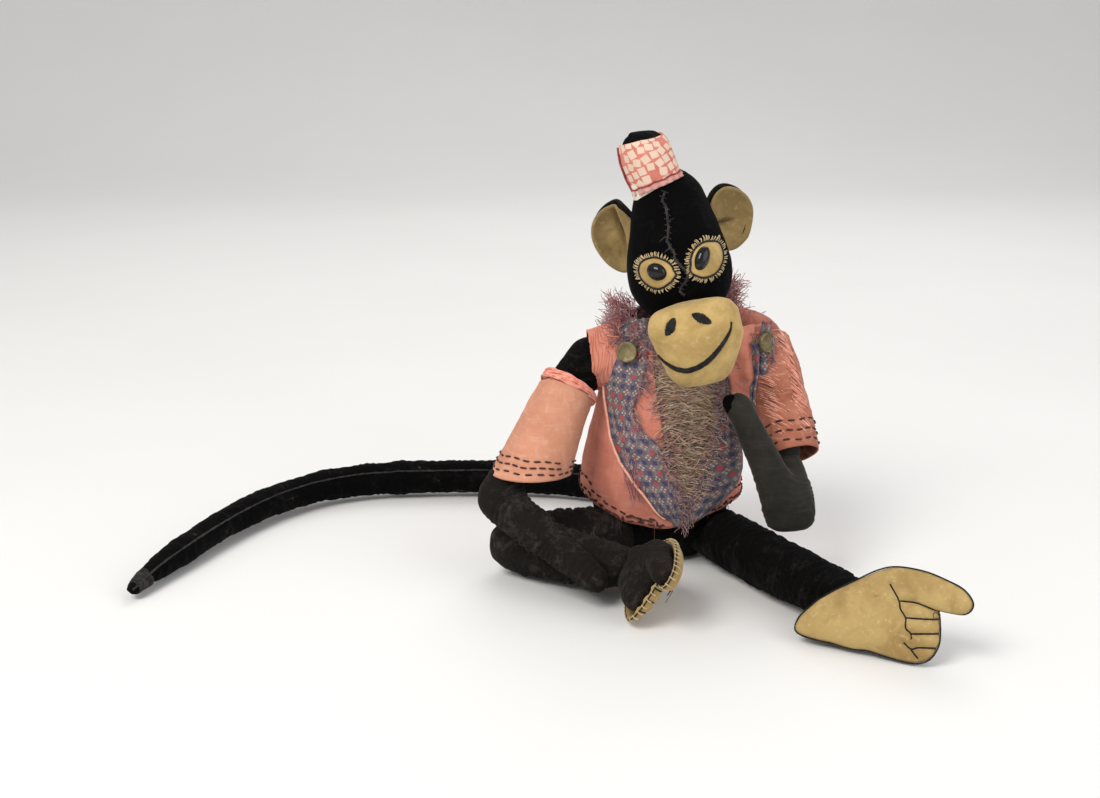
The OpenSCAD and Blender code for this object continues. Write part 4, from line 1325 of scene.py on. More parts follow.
def make_shirt():
    def place(s, t):
        z = 40 + (128 - 40) * t
        x0, x1 = between(R_IN, z) - 4, between(L_IN, z) + 4
        spot = on_form(x0 + (x1 - x0) * s, z)
        lump = 1.2 * smooth_noise(spot, 9, 61) + 0.7 * smooth_noise(spot, 3.5, 62)
        return on_form(x0 + (x1 - x0) * s, z, 0.9 + 0.4 * lump)
    shirt = grid_cloth("shirt_front_cloth", 30, 60, place, (36, 88))
    thicken(shirt, 0.9)
    dress(shirt, "shirt", "torso")
    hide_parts("shirt_front")
    for key, count, seed in (("shirt thread", 620, 1), ("cream fray", 360, 2), ("shirt dark thread", 300, 3),
                             ("rose thread", 150, 4)):
        bases = []
        for _ in range(count):
            z = random.uniform(42, 116)
            x0, x1 = between(R_IN, z) + 1.5, between(L_IN, z) + 2
            t = random.random()
            x = x0 + (x1 - x0) * t
            if key == "rose thread":
                x = random.choice((x0, x1)) + random.uniform(-2, 2)
            bases.append((on_form(x, z, 1.6 + random.uniform(0, 1.4)),
                          (random.choice((-1, 1)), -0.2, random.uniform(-0.5, 0.35))))
        frayed("shirt_fuzz_" + key.split()[0] + str(seed), bases, 8, key, "torso", 0.26, 0.6, 0.2)


def make_collar():
    def place(s, t):
        turn = s * math.tau
        r = 25 + 8.0 * math.sin(t * math.pi) + 1.6 * math.sin(turn * 5 + 1) + 1.0 * math.sin(turn * 11)
        z = 113 + t * 26 + 2.5 * math.sin(turn * 3 + 2) + 1.4 * math.sin(turn * 7)
        front = max(0.0, -math.sin(turn))
        z -= 6 * front
        spot = Vector((8 + r * 1.22 * math.cos(turn), 0 + r * 0.8 * math.sin(turn), z))
        return spot + Vector((1, 1, 1)) * (1.4 * smooth_noise(spot, 6, 71))
    collar = grid_cloth("collar_cloth", 90, 12, place, (175, 30), wrap=True)
    thicken(collar, 1.0)
    dress(collar, "calico", "torso")
    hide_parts("collar_fringe")
    for key, count, reach in (("rose thread", 1100, 9), ("grey thread", 900, 9), ("cream fray", 420, 8),
                              ("coral thread", 380, 8)):
        bases = []
        for _ in range(count):
            turn = random.uniform(0, math.tau)
            t = random.random()
            x, y, z = place(turn / math.tau, t)
            out = Vector((math.cos(turn), math.sin(turn) * 0.8, random.uniform(-0.7, 1.1)))
            bases.append(((x, y, z), out))
        frayed("collar_fringe_" + key.split()[0], bases, reach, key, "torso", 0.22, 1.1, 0.35, 6)
    bases = []
    for _ in range(520):
        side = random.choice((-1, 1))
        x = 8 + side * (random.uniform(24, 38) if side < 0 else random.uniform(21, 30))
        bases.append(((x, random.uniform(-14, 6), random.uniform(130, 146) + (0 if side < 0 else 10)),
                      (side * random.uniform(0.1, 0.8), -0.2, random.uniform(0.2, 1.0))))
    frayed("collar_upstanding_threads", bases, 10, "rose thread", "torso", 0.22, 0.9, 0.0, 6)


def make_scraps():
    """The torn facing, printed scrap and folds beside the doll's left lapel."""
    scraps = []
    for name, top, bottom, wide, key, seed, flat in (
            ("torn_facing", (40, -22, 137), (41, -31, 84), 16, "coral", 81, (17, 52)),
            ("printed_scrap", (53, -20, 139), (51, -28, 92), 13, "calico", 83, (14, 45)),
            ("torn_fold", (46, -24, 128), (48, -33, 88), 9, "calico", 85, (12, 40))):
        top, bottom = Vector(top), Vector(bottom)

        def place(s, t, top=top, bottom=bottom, wide=wide, seed=seed):
            spot = bottom + (top - bottom) * t
            x = (s - 0.5) * wide * (0.75 + 0.4 * math.sin(t * 3 + seed))
            bulge = 3.2 * math.cos((s - 0.5) * 3) + 1.2 * math.sin(s * 9 + t * 3)
            p = spot + Vector((x + 1.5 * math.sin(t * 6 + seed), -bulge, 0))
            return p + Vector((0.6, 1.1, 0.4)) * (1.3 * smooth_noise(p, 7, seed))
        scrap = grid_cloth(name, 18, 34, place, flat)
        thicken(scrap, 0.9)
        dress(scrap, key, "torso")
        scraps.append(scrap)
    for key, count in (("rose thread", 110), ("grey thread", 130), ("cream fray", 60)):
        bases = []
        for _ in range(count):
            t = random.random()
            x = random.choice((33, 46, 57)) + random.uniform(-2, 2)
            bases.append(((x, -23 - 8 * (1 - t), 88 + 46 * t),
                          (random.uniform(-1, 1), -0.5, random.uniform(-1, 0.5))))
        frayed("scrap_fray_" + key.split()[0], bases, 7, key, "torso", 0.22, 0.5, 0.5)


def make_buttons():
    profile = ((0, 1.15), (3.3, 1.2), (4.3, 1.35), (5.0, 1.75), (5.5, 1.6), (5.75, 0.9), (5.7, 0.1),
               (5.0, -0.4),
               (0, -0.5))
    for side, spot, toward in (("right", (-22.0, -26.5, 122.8), (-0.22, -1, 0.28)),
                               ("left", (53.5, -25.5, 128), (0.85, -1, 0.2))):
        button = turned("brass_button_" + side, profile, frame_at(spot, toward), 48)
        dress(button, "brass", "torso")
        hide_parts("brass_buttons")


MAKERS["peach thread"] = lambda: thread("pale piping", "coral_cotton", (0.9, 0.5, 0.36), (0.82, 0.36, 0.25))
MAKERS["cream fray"] = lambda: thread("cream frayed ends", "printed_cotton", (0.50, 0.40, 0.33),
                                      (0.36, 0.25, 0.22))
MAKERS["shirt dark thread"] = lambda: thread("dark shirt weft", "shirt_cloth", (0.22, 0.1, 0.09),
                                             (0.34, 0.24, 0.15))


# ------------------------------------------------------------------ arms

SHOULDER_R, ELBOW_R, HAND_R = Vector((-44.3, 0, 112)), Vector((-92.9, -52.5, 48)), Vector((-38.9, -91.8,
                                                                                           16.2))
SHOULDER_L, ELBOW_L, HAND_L = Vector((56.3, 0, 112)), Vector((66.9, -64.2, 41.4)), Vector((32.2, -62.4,
                                                                                           106.8))


def tube_cloth(name, start, end, radius, across, along, flat, seed=0, folds=(), level=0.0):
    """A sleeve of cloth round a limb: radius is a function of share and turn, level tips its cuff."""
    start, end = Vector(start), Vector(end)
    way = (end - start).normalized()
    side = Vector((0, 0, 1)).cross(way).normalized()
    other = way.cross(side)

    def place(s, t):
        turn = s * math.tau
        r = radius(t, turn)
        out = side * math.cos(turn) + other * math.sin(turn)
        spot = start + (end - start) * t + out * r
        spot += way * (level * t * out.z * r / -way.z)
        lift = sum(smooth_noise(Vector((spot.x, spot.y, spot.z * k)), size, seed + n) * h
                   for n, (size, h, k) in enumerate(folds))
        return spot + out * lift
    return grid_cloth(name, across, along, place, flat, wrap=True), place


def make_right_arm(sizes):
    way = (ELBOW_R - SHOULDER_R).normalized()
    mid = SHOULDER_R + way * 30 + Vector((4.5, 0, 6))
    upper = stuffed("upper_arm_velvet_right", [
        [(SHOULDER_R + Vector((3, 0, 0)), 14.6), (mid, 13.4)],
        [(mid, 13.4), (SHOULDER_R + way * 62 + Vector((6, 0, 1)), 11)],
        [(SHOULDER_R + way * 62 + Vector((6, 0, 1)), 11), (ELBOW_R - way * 9, 10.5)]], 3.2, cap=0.8)
    rumple(upper, (14, 0.6), (6, 0.25), seed=91)
    dress(upper, "black velvet", "right_upper_arm")
    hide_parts("upper_arm_right")
    along = (HAND_R - ELBOW_R).normalized()
    fore = stuffed("forearm_velvet_right", [
        [(ELBOW_R - way * 9, 12.5), (ELBOW_R - way * 1, 12)],
        [(ELBOW_R - way * 2, 11.0), (ELBOW_R + along * 6, 12.2)],
        [(ELBOW_R + along * 10, 12.6), (ELBOW_R + along * 34, 11)],
        [(ELBOW_R + along * 34, 11), (HAND_R - along * 1.5, 8.2)]], 2.6, cap=1.0)
    creases(fore, ELBOW_R + along * 4, HAND_R, 7.5, 2.0, seed=93, slant=0.25)
    rumple(fore, (11, 0.9), (4.5, 0.4), seed=94)
    dress(fore, "brown sheen velvet")
    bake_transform(fore)
    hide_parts("forearm_right")

    def grow(t, turn):
        return 15.6 + 4.2 * t + 0.5 * math.sin(turn * 2 + 0.5) + 0.25 * math.sin(turn * 5 + t * 4)
    top, foot = SHOULDER_R + way * 33 + Vector((5.7, 0, 8)), SHOULDER_R + way * 77 + Vector((9.0, 0, -1))
    sleeve, place = tube_cloth("sleeve_cloth_right", top, foot, grow, 90, 44,
                               (112, 46), seed=97, folds=((12, 0.7, 0.5), (5, 0.3, 1)), level=0.85)
    thicken(sleeve, 1.1)
    dress(sleeve, "peach", "right_upper_arm")
    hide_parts("sleeve_right")
    tree = tree_of(sleeve)
    rows = []
    for t in (0.80, 0.865, 0.93):
        row = []
        for k in range(91):
            spot = Vector(place(k / 90, t + 0.006 * math.sin(k * 0.5)))
            lay = (foot - top).normalized()
            centre = top + lay * (spot - top).dot(lay)
            row.append(drop_on(tree, spot + (spot - centre) * 0.6, centre - spot, 0.35)[0])
        rows.append(row)
    cuff = strands("cuff_running_stitch_right", dashes(rows, sizes), "brown thread", "right_upper_arm",
                   sides=1)
    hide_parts("cuff_stitching_right")
    bases = []
    for _ in range(70):
        s, t = random.uniform(0.55, 0.72), random.uniform(0.66, 0.8)
        bases.append((place(s, t), (1, -0.3, -0.4)))
    frayed("sleeve_worn_threads", bases, 6, "coral thread", "right_upper_arm", 0.22, 0.3, 0.2)

    def pleat(t, turn):
        wander = 6 * math.sin(turn * 2) + 3.5 * math.sin(turn * 5 + t * 9)
        return 16.2 + 5.5 * (1 - t) ** 1.3 + 0.42 * math.sin(t * 64 + wander) * (0.4 + 0.6 * t)
    strip, _ = tube_cloth("armhole_pleats_right", (-23, 0, 114), (-41.5, -1, 112.5), pleat, 96, 72,
                          (125, 21), seed=101,
                          folds=((7, 0.7, 1), (3, 0.35, 1)))
    thicken(strip, 0.9)
    dress(strip, "coral", "torso")
    band_at = SHOULDER_R + way * 27 + Vector((5, 0, 6))
    lines = []
    side = Vector((0, 0, 1)).cross(way).normalized()
    other = way.cross(side)
    for n in range(26):
        line = []
        for k in range(61):
            turn = math.tau * k / 60
            r = 15.4 + 0.9 * math.sin(n * 1.9 + turn * 2) + 0.5 * math.sin(turn * 3 + n)
            lean = 2.6 * math.sin(turn + 0.4) + (n - 12.5) * 0.18 + 0.8 * math.sin(turn * 4 + n * 2.1)
            line.append((band_at + way * lean + (side * math.cos(turn) + other * math.sin(turn)) * r,
                         0.42 + 0.16 * math.sin(n + turn * 3)))
        lines.append(line)
    strands("torn_sleeve_band", lines, "coral thread", "right_upper_arm", sides=1)
    lines = []
    for n in range(5):
        line = []
        for k in range(41):
            turn = math.tau * k / 40
            lean = 9.0 + 3.0 * math.sin(turn + 0.8 + n * 0.2) + n * 0.8
            line.append((band_at + way * lean + (side * math.cos(turn) + other * math.sin(turn)) * 15.3,
                         0.24))
        lines.append(line)
    strands("loose_sleeve_threads", lines, "black thread", "right_upper_arm")


def make_left_arm(sizes):
    way = (ELBOW_L - SHOULDER_L).normalized()
    along = (HAND_L - ELBOW_L).normalized()
    upper = stuffed("upper_arm_velvet_left", [[(SHOULDER_L, 13.0), (SHOULDER_L + way * 58, 11.0)]], 4.0,
                    cap=0.5)
    dress(upper, "charcoal", "left_upper_arm")
    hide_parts("upper_arm_left")
    bend = ELBOW_L + Vector((-3.0, 0, 4.5))
    fore = stuffed("forearm_cloth_left", [
        [(ELBOW_L - way * 28, 11.6), (bend + Vector((5.5, 0, -3.5)), 9.2), (bend + Vector((-5, 1, -5)), 8.6),
         (bend + Vector((3, 0, 5)), 10.2)],
        [(bend + Vector((4.5, 0, -4)), 9.0), (bend + Vector((-5.5, 0, -5)), 8.8), (bend + along * 28, 9.6)],
        [(bend + along * 28, 9.6), (HAND_L - along * 5, 8.4)]], 2.6, cap=0.8)
    creases(fore, ELBOW_L - way * 20, ELBOW_L + way * 2, 6.5, 1.5, seed=111, slant=0.3)
    rumple(fore, (18, 0.7), (6, 0.25), seed=112)
    dress(fore, "charcoal")
    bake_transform(fore)
    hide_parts("forearm_left")
    tip = stuffed("hand_patch_left",
                  [[(HAND_L - along * 5.5 + Vector((-3.4, -1.2, 0)), 5.6),
                    (HAND_L - along * 2.0 + Vector((-2.8, -1, 0)), 5.6)]], 2.2, cap=0.3)
    dress(tip, "head velvet", "left_forearm")
    crown, cuff_at = Vector((52, 0, 121)), Vector((66.5, -40, 68))
    hang = (cuff_at - crown).normalized()

    def grow(t, turn):
        return 17.4 - 2.2 * t + 1.4 * math.sin(t * 3.1) + 0.6 * math.sin(turn * 2 + 1)
    sleeve, place = tube_cloth("sleeve_cloth_left", crown, cuff_at, grow, 96, 64,
                               (108, 68), seed=115, folds=((13, 1.0, 0.6), (5, 0.5, 1), (2.4, 0.25, 1)))
    thicken(sleeve, 1.1)
    dress(sleeve, "rust sleeve", "left_upper_arm")
    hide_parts("sleeve_left")
    tree = tree_of(sleeve)
    cap = stuffed("sleeve_head_left", [
        [((33, 2, 131), 14.5), ((50, 1, 123), 17.6)], [((50, 1, 123), 17.6), (crown + hang * 8, 17.2)]],
        3.4, cap=0.8)
    rumple(cap, (10, 0.9), (4, 0.35), seed=117)
    dress(cap, "rust crown", "torso")
    rows = []
    for t in (0.78, 0.86, 0.94):
        row = []
        for k in range(91):
            spot = Vector(place(k / 90, t + 0.01 * math.sin(k * 0.35)))
            centre = crown + (cuff_at - crown) * t
            row.append(drop_on(tree, spot + (spot - centre) * 0.6, centre - spot, 0.35)[0])
        rows.append(row)
    cuff = strands("cuff_running_stitch_left", dashes(rows, sizes), "brown thread", "left_upper_arm", sides=1)
    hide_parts("cuff_stitching_left")
    for key, count, size in (("brown thread", 130, 0.2), ("coral thread", 330, 0.26),
                             ("peach thread", 260, 0.24)):
        lines = []
        for _ in range(count):
            s, t = random.random(), random.uniform(0.02, 0.9)
            line = []
            length = random.uniform(0.06, 0.14)
            for j in range(6):
                a = s + length * (j / 5) * 0.9
                b = t - length * (j / 5) * 1.3
                spot = Vector(place(a % 1.0, max(0.0, min(1.0, b))))
                centre = crown + (cuff_at - crown) * max(0.0, min(1.0, b))
                out = (spot - centre).normalized()
                line.append((spot + out * (0.35 + 0.22 * math.sin(j + s * 40)), size))
            lines.append(line)
        strands("sleeve_thread_" + key.split()[0], lines, key, "left_upper_arm")


MAKERS["rust sleeve"] = lambda: cotton("threadbare coral cotton", "coral_cotton", (0.50, 0.185, 0.115),
                                       (0.33, 0.105, 0.065),
                                       (0.66, 0.32, 0.21), 0.6, 0.7)
MAKERS["rust crown"] = lambda: cotton("threadbare shoulder cotton", "coral_cotton", (0.50, 0.185, 0.13),
                                      (0.33, 0.105, 0.07),
                                      (0.66, 0.32, 0.23), 0.6, 0.7, False)


# ------------------------------------------------------------------ legs and feet

HIP_R, KNEE_R, ANKLE_R = Vector((-27, -16, 17)), Vector((-82.2, -39.4, 17)), Vector((-32, -72.2, 17))
HIP_L, KNEE_L, ANKLE_L = Vector((27, -16, 17)), Vector((55.2, -69, 17)), Vector((85.2, -121, 17))


def foot_frame(spot, toe, sole, side):
    z = Vector(sole).normalized()
    x = (Vector(toe) - z * Vector(toe).dot(z)).normalized()
    y = z.cross(x) * side
    return Matrix.Translation(Vector(spot)) @ Matrix((x, y, z)).transposed().to_4x4()


FEET = {
    "right": (foot_frame((-19.5, -52, 0.6), (0.05, -1, 0), (0.83, 0, -0.55), -1), "right_shin"),
    "left": (foot_frame((56, -135, 6.6), (62, -32, -3), (-0.42, -0.84, 0.25), 1), "left_shin"),
}

SOLE_LINE = ((0, 3), (1.5, 8), (6, 14), (12.5, 21), (25, 30.5), (36, 38.5), (45, 42), (58, 42.5),
             (69, 40.5), (77, 38),
             (82, 33.5), (82.3, 29.5), (79, 26.4), (71, 25.8), (67.5, 25.6), (68.5, 22), (70, 14), (69.8, 8),
             (67, 2), (62, -1.2), (55.5, -2.0), (47, -1.6), (37, -0.8), (30, -1.6), (20, -1.2), (12, -1.4),
             (5, -1.0),
             (1, 0.4), (0, 3))
TOE_LINES = (
    ((43.2, 33.5), (48.6, 26.8), (50, 22.8), (53.1, 19.2), (53.9, 14.4), (56.8, 12.2), (57.4, 8.8)),
    ((49.4, 26.6), (57.1, 27.3), (66.6, 25.8)), ((53.1, 19.2), (61.7, 20.5), (68.4, 21.6)),
    ((56.4, 12.1), (62.9, 13.6), (69.8, 15.0)), ((54.1, 7.3), (58, 5), (61.3, 6.5), (69.4, 7.8)),
    ((58, 4.7), (61.5, 1.0)))
SOLE_MID = Vector((40, 27, 0))


def sole_height(x, y, reach):
    """How far the padded sole stands out at a place, with its toe grooves and two pleats."""
    rise = 2.4 * (1 - reach ** 5) - 0.8 * reach ** 8
    near = 99.0
    for line in TOE_LINES:
        for (ax, ay), (bx, by) in zip(line, line[1:]):
            dx, dy = bx - ax, by - ay
            t = max(0.0, min(1.0, ((x - ax) * dx + (y - ay) * dy) / (dx * dx + dy * dy)))
            near = min(near, math.hypot(x - ax - dx * t, y - ay - dy * t))
    rise -= 1.5 * math.exp(-(near / 1.5) ** 2) * min(1.0, (1.03 - reach) * 12 + 0.35)
    for px, low, high in ((39.2, 28.4, 39.5), (13.3, 14, 21.5)):
        if low - 2 < y < high + 2:
            rise -= 0.9 * math.exp(-((x - px - (y - high) * 0.05) / 1.2) ** 2)
    return rise


def make_foot(word):
    place, body = FEET[word]
    wrap = 4.2 if word == "right" else 0.6

    def point(x, y, z):
        return place @ Vector((x, y, z))

    upper = stuffed("foot_velvet_" + word, [
        [(point(9.5, 8.5, -8.5), 8), (point(16, 15, -8.5), 8.5), (point(46, 8.5, -8.5), 8.5),
         (point(46, 30, -8.5), 8.8), (point(60, 9, -8.2), 7.6), (point(60, 18, -8.2), 7.6)],
        [(point(44, 32, -8.5), 8.8), (point(73.5, 32, -8), 7.4)]], 2.4, cap=0.8)
    rumple(upper, (10, 0.7), (4, 0.3), seed=121)
    creases(upper, point(14, 12, -10), point(60, 20, -10), 9, 1.1, seed=122, slant=0.2)

    def cut(spot, normal):
        local = place.inverted() @ spot
        over = local.z + 1.0
        return place.to_3x3() @ Vector((0, 0, -over)) if over > 0 else Vector((0, 0, 0))
    shape(upper, cut)
    shape(upper, above_floor(0.6))
    dress(upper, "brown sheen velvet" if word == "right" else "black velvet", body)
    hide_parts("foot_upper_" + word)
    count = 112
    line = even_line([(x, y, 0) for x, y in SOLE_LINE], 0.5)

    def bearing(spot):
        return math.atan2(spot.y - SOLE_MID.y, spot.x - SOLE_MID.x) % math.tau

    total = len(line)
    first = min(range(total), key=lambda k: min(bearing(line[k]), math.tau - bearing(line[k])))
    step = -1 if bearing(line[(first + total // 8) % total]) > math.pi else 1
    rim = [line[(first + step * round(k * total / count)) % total] for k in range(count)]
    bm = disc(26, count)
    for vertex in bm.verts:
        reach = math.hypot(vertex.co.x, vertex.co.y)
        k = round(math.atan2(vertex.co.y, vertex.co.x) / math.tau * count) % count
        flat = SOLE_MID + (rim[k] - SOLE_MID) * reach
        fold = wrap * max(0.0, (reach - 0.8) / 0.2) ** 2
        vertex.co = point(flat.x, flat.y, sole_height(flat.x, flat.y, reach) - 0.9 - fold) * MM
    bmesh.ops.recalc_face_normals(bm, faces=bm.faces[:])
    sole = new_piece("foot_sole_" + word + "_velveteen", bm)
    if sole.data.polygons[0].normal.dot(place.to_3x3() @ Vector((0, 0, 1))) < 0:
        sole.data.flip_normals()
    thicken(sole, 1.3, -1.0)
    shape(sole, above_floor(0.4))
    rumple(sole, (14, 0.5), (5, 0.15), seed=125)
    TREES["sole " + word] = tree_of(sole)
    dress(sole, "tan sole", body)
    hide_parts("foot_sole_" + word)
    out = place.to_3x3() @ Vector((0, 0, 1))

    def over(x, y, lift):
        return drop_on(TREES["sole " + word], point(x, y, 30), -out, lift)[0]

    lines = []
    for path in TOE_LINES:
        lines.append([(over(p.x, p.y, 0.05), 0.42) for p in even_line([(x, y, 0) for x, y in path], 1.0)])
    toes = strands("toe_stitch_lines_" + word, lines, "black thread", body, sides=1)
    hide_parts("toe_stitching_" + word)
    rims, whips = [], []
    for k, p in enumerate(line[::2]):
        away = (p - SOLE_MID).normalized()
        rims.append((point(p.x + away.x * 0.2, p.y + away.y * 0.2, -1.7 - wrap), 0.4))
        if k % 4 == 0 and word == "right":
            whips.append([(point(p.x + away.x * a, p.y + away.y * a, z - wrap), 0.34)
                          for a, z in ((0.3, 0.6), (0.7, -0.4), (0.7, -1.6), (-0.1, -2.8))])
    strands("foot_seam_thread_" + word, [rims], "black thread", body, sides=1)
    if whips:
        strands("foot_whip_stitches_" + word, whips, "cream thread", body)
    knot = [(point(67.6 + 1.6 * math.sin(a), 25.4 - 1.8 * (1 - math.cos(a)), 0.8 + 0.3 * a), 0.25)
            for a in [k * 0.6 for k in range(11)]]
    knot += [(point(69.5 + 0.2 * k, 23.5 - 1.6 * k, 2.4), 0.22) for k in range(4)]
    strands("foot_loose_thread_" + word, [knot], "brown thread", body)


def leg_piece(word, hip, knee, ankle, key, nodes):
    out = (knee - hip).normalized()
    on = (ankle - knee).normalized()
    far = knee + on * ((ankle - knee).length + 4)
    leg = stuffed("leg_velvet_" + word, [
        [(hip, 16), (knee, 16.2)], [(knee, 16.2), (knee + on * 30, 15.2)],
        [(knee + on * 30, 15.2), (far, 13.2)]],
        3.4, cap=0.9)
    creases(leg, hip + out * 12, knee, 11, 2.2, seed=131 + len(word), slant=0.2)
    creases(leg, knee + on * 4, far, 9.5, 2.3, seed=137 + len(word), slant=0.3)
    rumple(leg, (15, 1.0), (6, 0.45), seed=141)
    shape(leg, above_floor(0.7))
    dress(leg, key)
    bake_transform(leg)
    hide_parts(*nodes)


def make_legs():
    leg_piece("right", HIP_R, KNEE_R, ANKLE_R, "brown sheen velvet",
              ("thigh_right", "shin_right"))
    leg_piece("left", HIP_L, KNEE_L, ANKLE_L, "black velvet",
              ("thigh_left", "shin_left"))


def make_feet():
    make_foot("right")
    make_foot("left")


# ------------------------------------------------------------------ tail

TAIL = ((0, 49, 12.5), (-8, 63, 12.5), (-26, 80, 12.5), (-54, 91, 12.5), (-88, 96, 12.5), (-124, 96, 12.5),
        (-159, 94, 12.5), (-186, 88, 12.5), (-210, 74, 12.5), (-230, 54, 12), (-246, 28, 11.5),
        (-259, -2, 11),
        (-270, -32, 10), (-279, -58, 8.5), (-285, -80, 6))


def tail_radius(share):
    return 11.6 - 1.0 * share - 4.2 * max(0.0, share - 0.42) - 34 * max(0.0, share - 0.90)


def make_tail():
    path = even_line(TAIL, 9.0)
    last = len(path) - 1
    spots = [(p, tail_radius(k / last)) for k, p in enumerate(path)]
    tail = stuffed("tail_velvet", [[a, b] for a, b in zip(spots, spots[1:])], 3.2, cap=0.7, shrink=0.6)
    for k in range(0, last - 3, 4):
        creases(tail, path[k], path[min(last, k + 4)], 12, 0.9, seed=151 + k, slant=0.1)
    rumple(tail, (14, 0.7), (5, 0.3), seed=155)
    kink = Vector((-159, 94, 12.5))

    def kink_step(point, normal):
        near = abs(point.y - kink.y) < 20 and abs(point.x - kink.x) < 12
        return normal * (0.9 * math.exp(-((point - kink).x / 5) ** 2) if near else 0.0)
    shape(tail, kink_step)
    shape(tail, above_floor(0.6))
    TREES["tail"] = tree_of(tail)
    dress(tail, "tail velvet")
    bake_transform(tail)
    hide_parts("tail_base", "tail_tip")
    fine = even_line(TAIL, 1.6)
    ridge, fuzz = [], []
    for k, spot in enumerate(fine):
        ahead = fine[min(k + 1, len(fine) - 1)] - fine[max(k - 1, 0)]
        side = Vector((0, 0, 1)).cross(ahead).normalized()
        away = (side * 0.72 + Vector((0, 0, 0.6))).normalized()
        lean = away * 30
        point, normal = drop_on(TREES["tail"], spot + lean, -away, 0.1)
        ridge.append((point, 0.5 + 0.25 * smooth_noise(spot, 3, 5)))
        if k % 2 == 0:
            fuzz.append([(point - normal * 0.2 + side.cross(away) * 1.0, 0.25), (point + normal * 0.7, 0.28),
                         (point - normal * 0.1 - side.cross(away) * 1.0 + Vector((0, 0, -1.2)), 0.22)])
    binding = []
    for n in range(14):
        centre = fine[-3] + (fine[-1] - fine[-6]).normalized() * (-n * 0.9)
        ahead = (fine[-1] - fine[-8]).normalized()
        side = Vector((0, 0, 1)).cross(ahead).normalized()
        other = ahead.cross(side)
        ring = []
        for k in range(25):
            turn = math.tau * k / 24
            way = side * math.cos(turn) + other * math.sin(turn)
            point, _ = drop_on(TREES["tail"], centre + ahead * 0.5 * math.sin(turn * 2 + n) + way * 20,
                               -way, 0.15)
            ring.append((point, 0.4))
        binding.append(ring)
    for name, lines, key, sides in (("tail_seam", [ridge], "seam", 2), ("tail_seam_fuzz", fuzz, "seam", 0),
                                    ("tail_tip_binding", binding, "seam", 1)):
        piece = strands(name, lines, key, None, sides=sides)
        if name == "tail_tip_binding":
            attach(piece, "tail_thin_end")
        else:
            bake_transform(piece)


# second colour: the lighter crushed tone that velvet() paints on as sheen where folds catch the light
MAKERS["tail velvet"] = lambda: velvet("worn tail velvet", "black_velvet", (0.002, 0.0019, 0.0019),
                                       (0.010, 0.009, 0.009),
                                       crush=0.9, wear=0.35, sheen=0.05)


# ------------------------------------------------------------------ the inside parts

INSIDE = {"stuffing": "wadding", "fibre_board": "board", "steel": "steel", "black_velvet": "black velvet",
          "tan_velveteen": "tan", "coral_cotton": "coral", "printed_cotton": "calico", "fez_print": "fez",
          "shirt_cloth": "shirt", "brass": "brass", "brown_thread": "brown thread",
          "cream_thread": "cream thread",
          "black_thread": "black thread", "shoe_button": "glass", "grey_cotton": "charcoal",
          "worn_seam": "seam"}


def make_inside():
    slots = {part["node"]: part["material_slot"] for part in frame["record"]["subparts"]}
    for node, piece in frame["nodes"].items():
        made = finish(INSIDE[slots[node]])
        piece.data.materials.clear()
        piece.data.materials.append(made.material)


# ------------------------------------------------------------------ add-on


class MonkeySizes(bpy.types.PropertyGroup):
    stitch_dash: bpy.props.FloatProperty(
        name="Dash", description="Length of one running stitch", default=0.0036, unit="LENGTH",
        subtype="DISTANCE")
    stitch_pitch: bpy.props.FloatProperty(
        name="Pitch", description="Step from one running stitch to the next", default=0.006, unit="LENGTH",
        subtype="DISTANCE")


class StageSizes(bpy.types.PropertyGroup):
    focal: bpy.props.FloatProperty(
        name="Focal length", description="Focal length of the camera", default=50.0, unit="CAMERA")


class MONKEY_OT_inside(bpy.types.Operator):
    """Finish the stuffing, discs and pins"""
    bl_idname = "monkey.inside"
    bl_label = "Inside parts"

    def execute(self, context):
        random.seed("inside")
        make_inside()
        return {"FINISHED"}


class MONKEY_OT_torso(bpy.types.Operator):
    """Stuffed velvet torso"""
    bl_idname = "monkey.torso"
    bl_label = "Torso"

    def execute(self, context):
        random.seed("torso")
        make_torso()
        return {"FINISHED"}


class MONKEY_OT_jacket(bpy.types.Operator):
    """Back and two fronts of the cotton jacket"""
    bl_idname = "monkey.jacket"
    bl_label = "Jacket"

    def execute(self, context):
        random.seed("jacket")
        make_jacket(context.scene.monkey_sizes)
        return {"FINISHED"}


class MONKEY_OT_lapels(bpy.types.Operator):
    """Printed lapels with frayed edges"""
    bl_idname = "monkey.lapels"
    bl_label = "Lapels"

    def execute(self, context):
        random.seed("lapels")
        make_lapels()
        return {"FINISHED"}


class MONKEY_OT_shirt(bpy.types.Operator):
    """Frayed shirt front"""
    bl_idname = "monkey.shirt"
    bl_label = "Shirt front"

    def execute(self, context):
        random.seed("shirt")
        make_shirt()
        return {"FINISHED"}


class MONKEY_OT_collar(bpy.types.Operator):
    """Frayed collar"""
    bl_idname = "monkey.collar"
    bl_label = "Collar"

    def execute(self, context):
        random.seed("collar")
        make_collar()
        return {"FINISHED"}


class MONKEY_OT_scraps(bpy.types.Operator):
    """Torn facing and printed scraps"""
    bl_idname = "monkey.scraps"
    bl_label = "Scraps"

    def execute(self, context):
        random.seed("scraps")
        make_scraps()
        return {"FINISHED"}


class MONKEY_OT_buttons(bpy.types.Operator):
    """Two brass buttons"""
    bl_idname = "monkey.buttons"
    bl_label = "Brass buttons"

    def execute(self, context):
        random.seed("buttons")
        make_buttons()
        return {"FINISHED"}


class MONKEY_OT_head(bpy.types.Operator):
    """Stuffed velvet head"""
    bl_idname = "monkey.head"
    bl_label = "Head"

    def execute(self, context):
        random.seed("head")
        make_head()
        return {"FINISHED"}


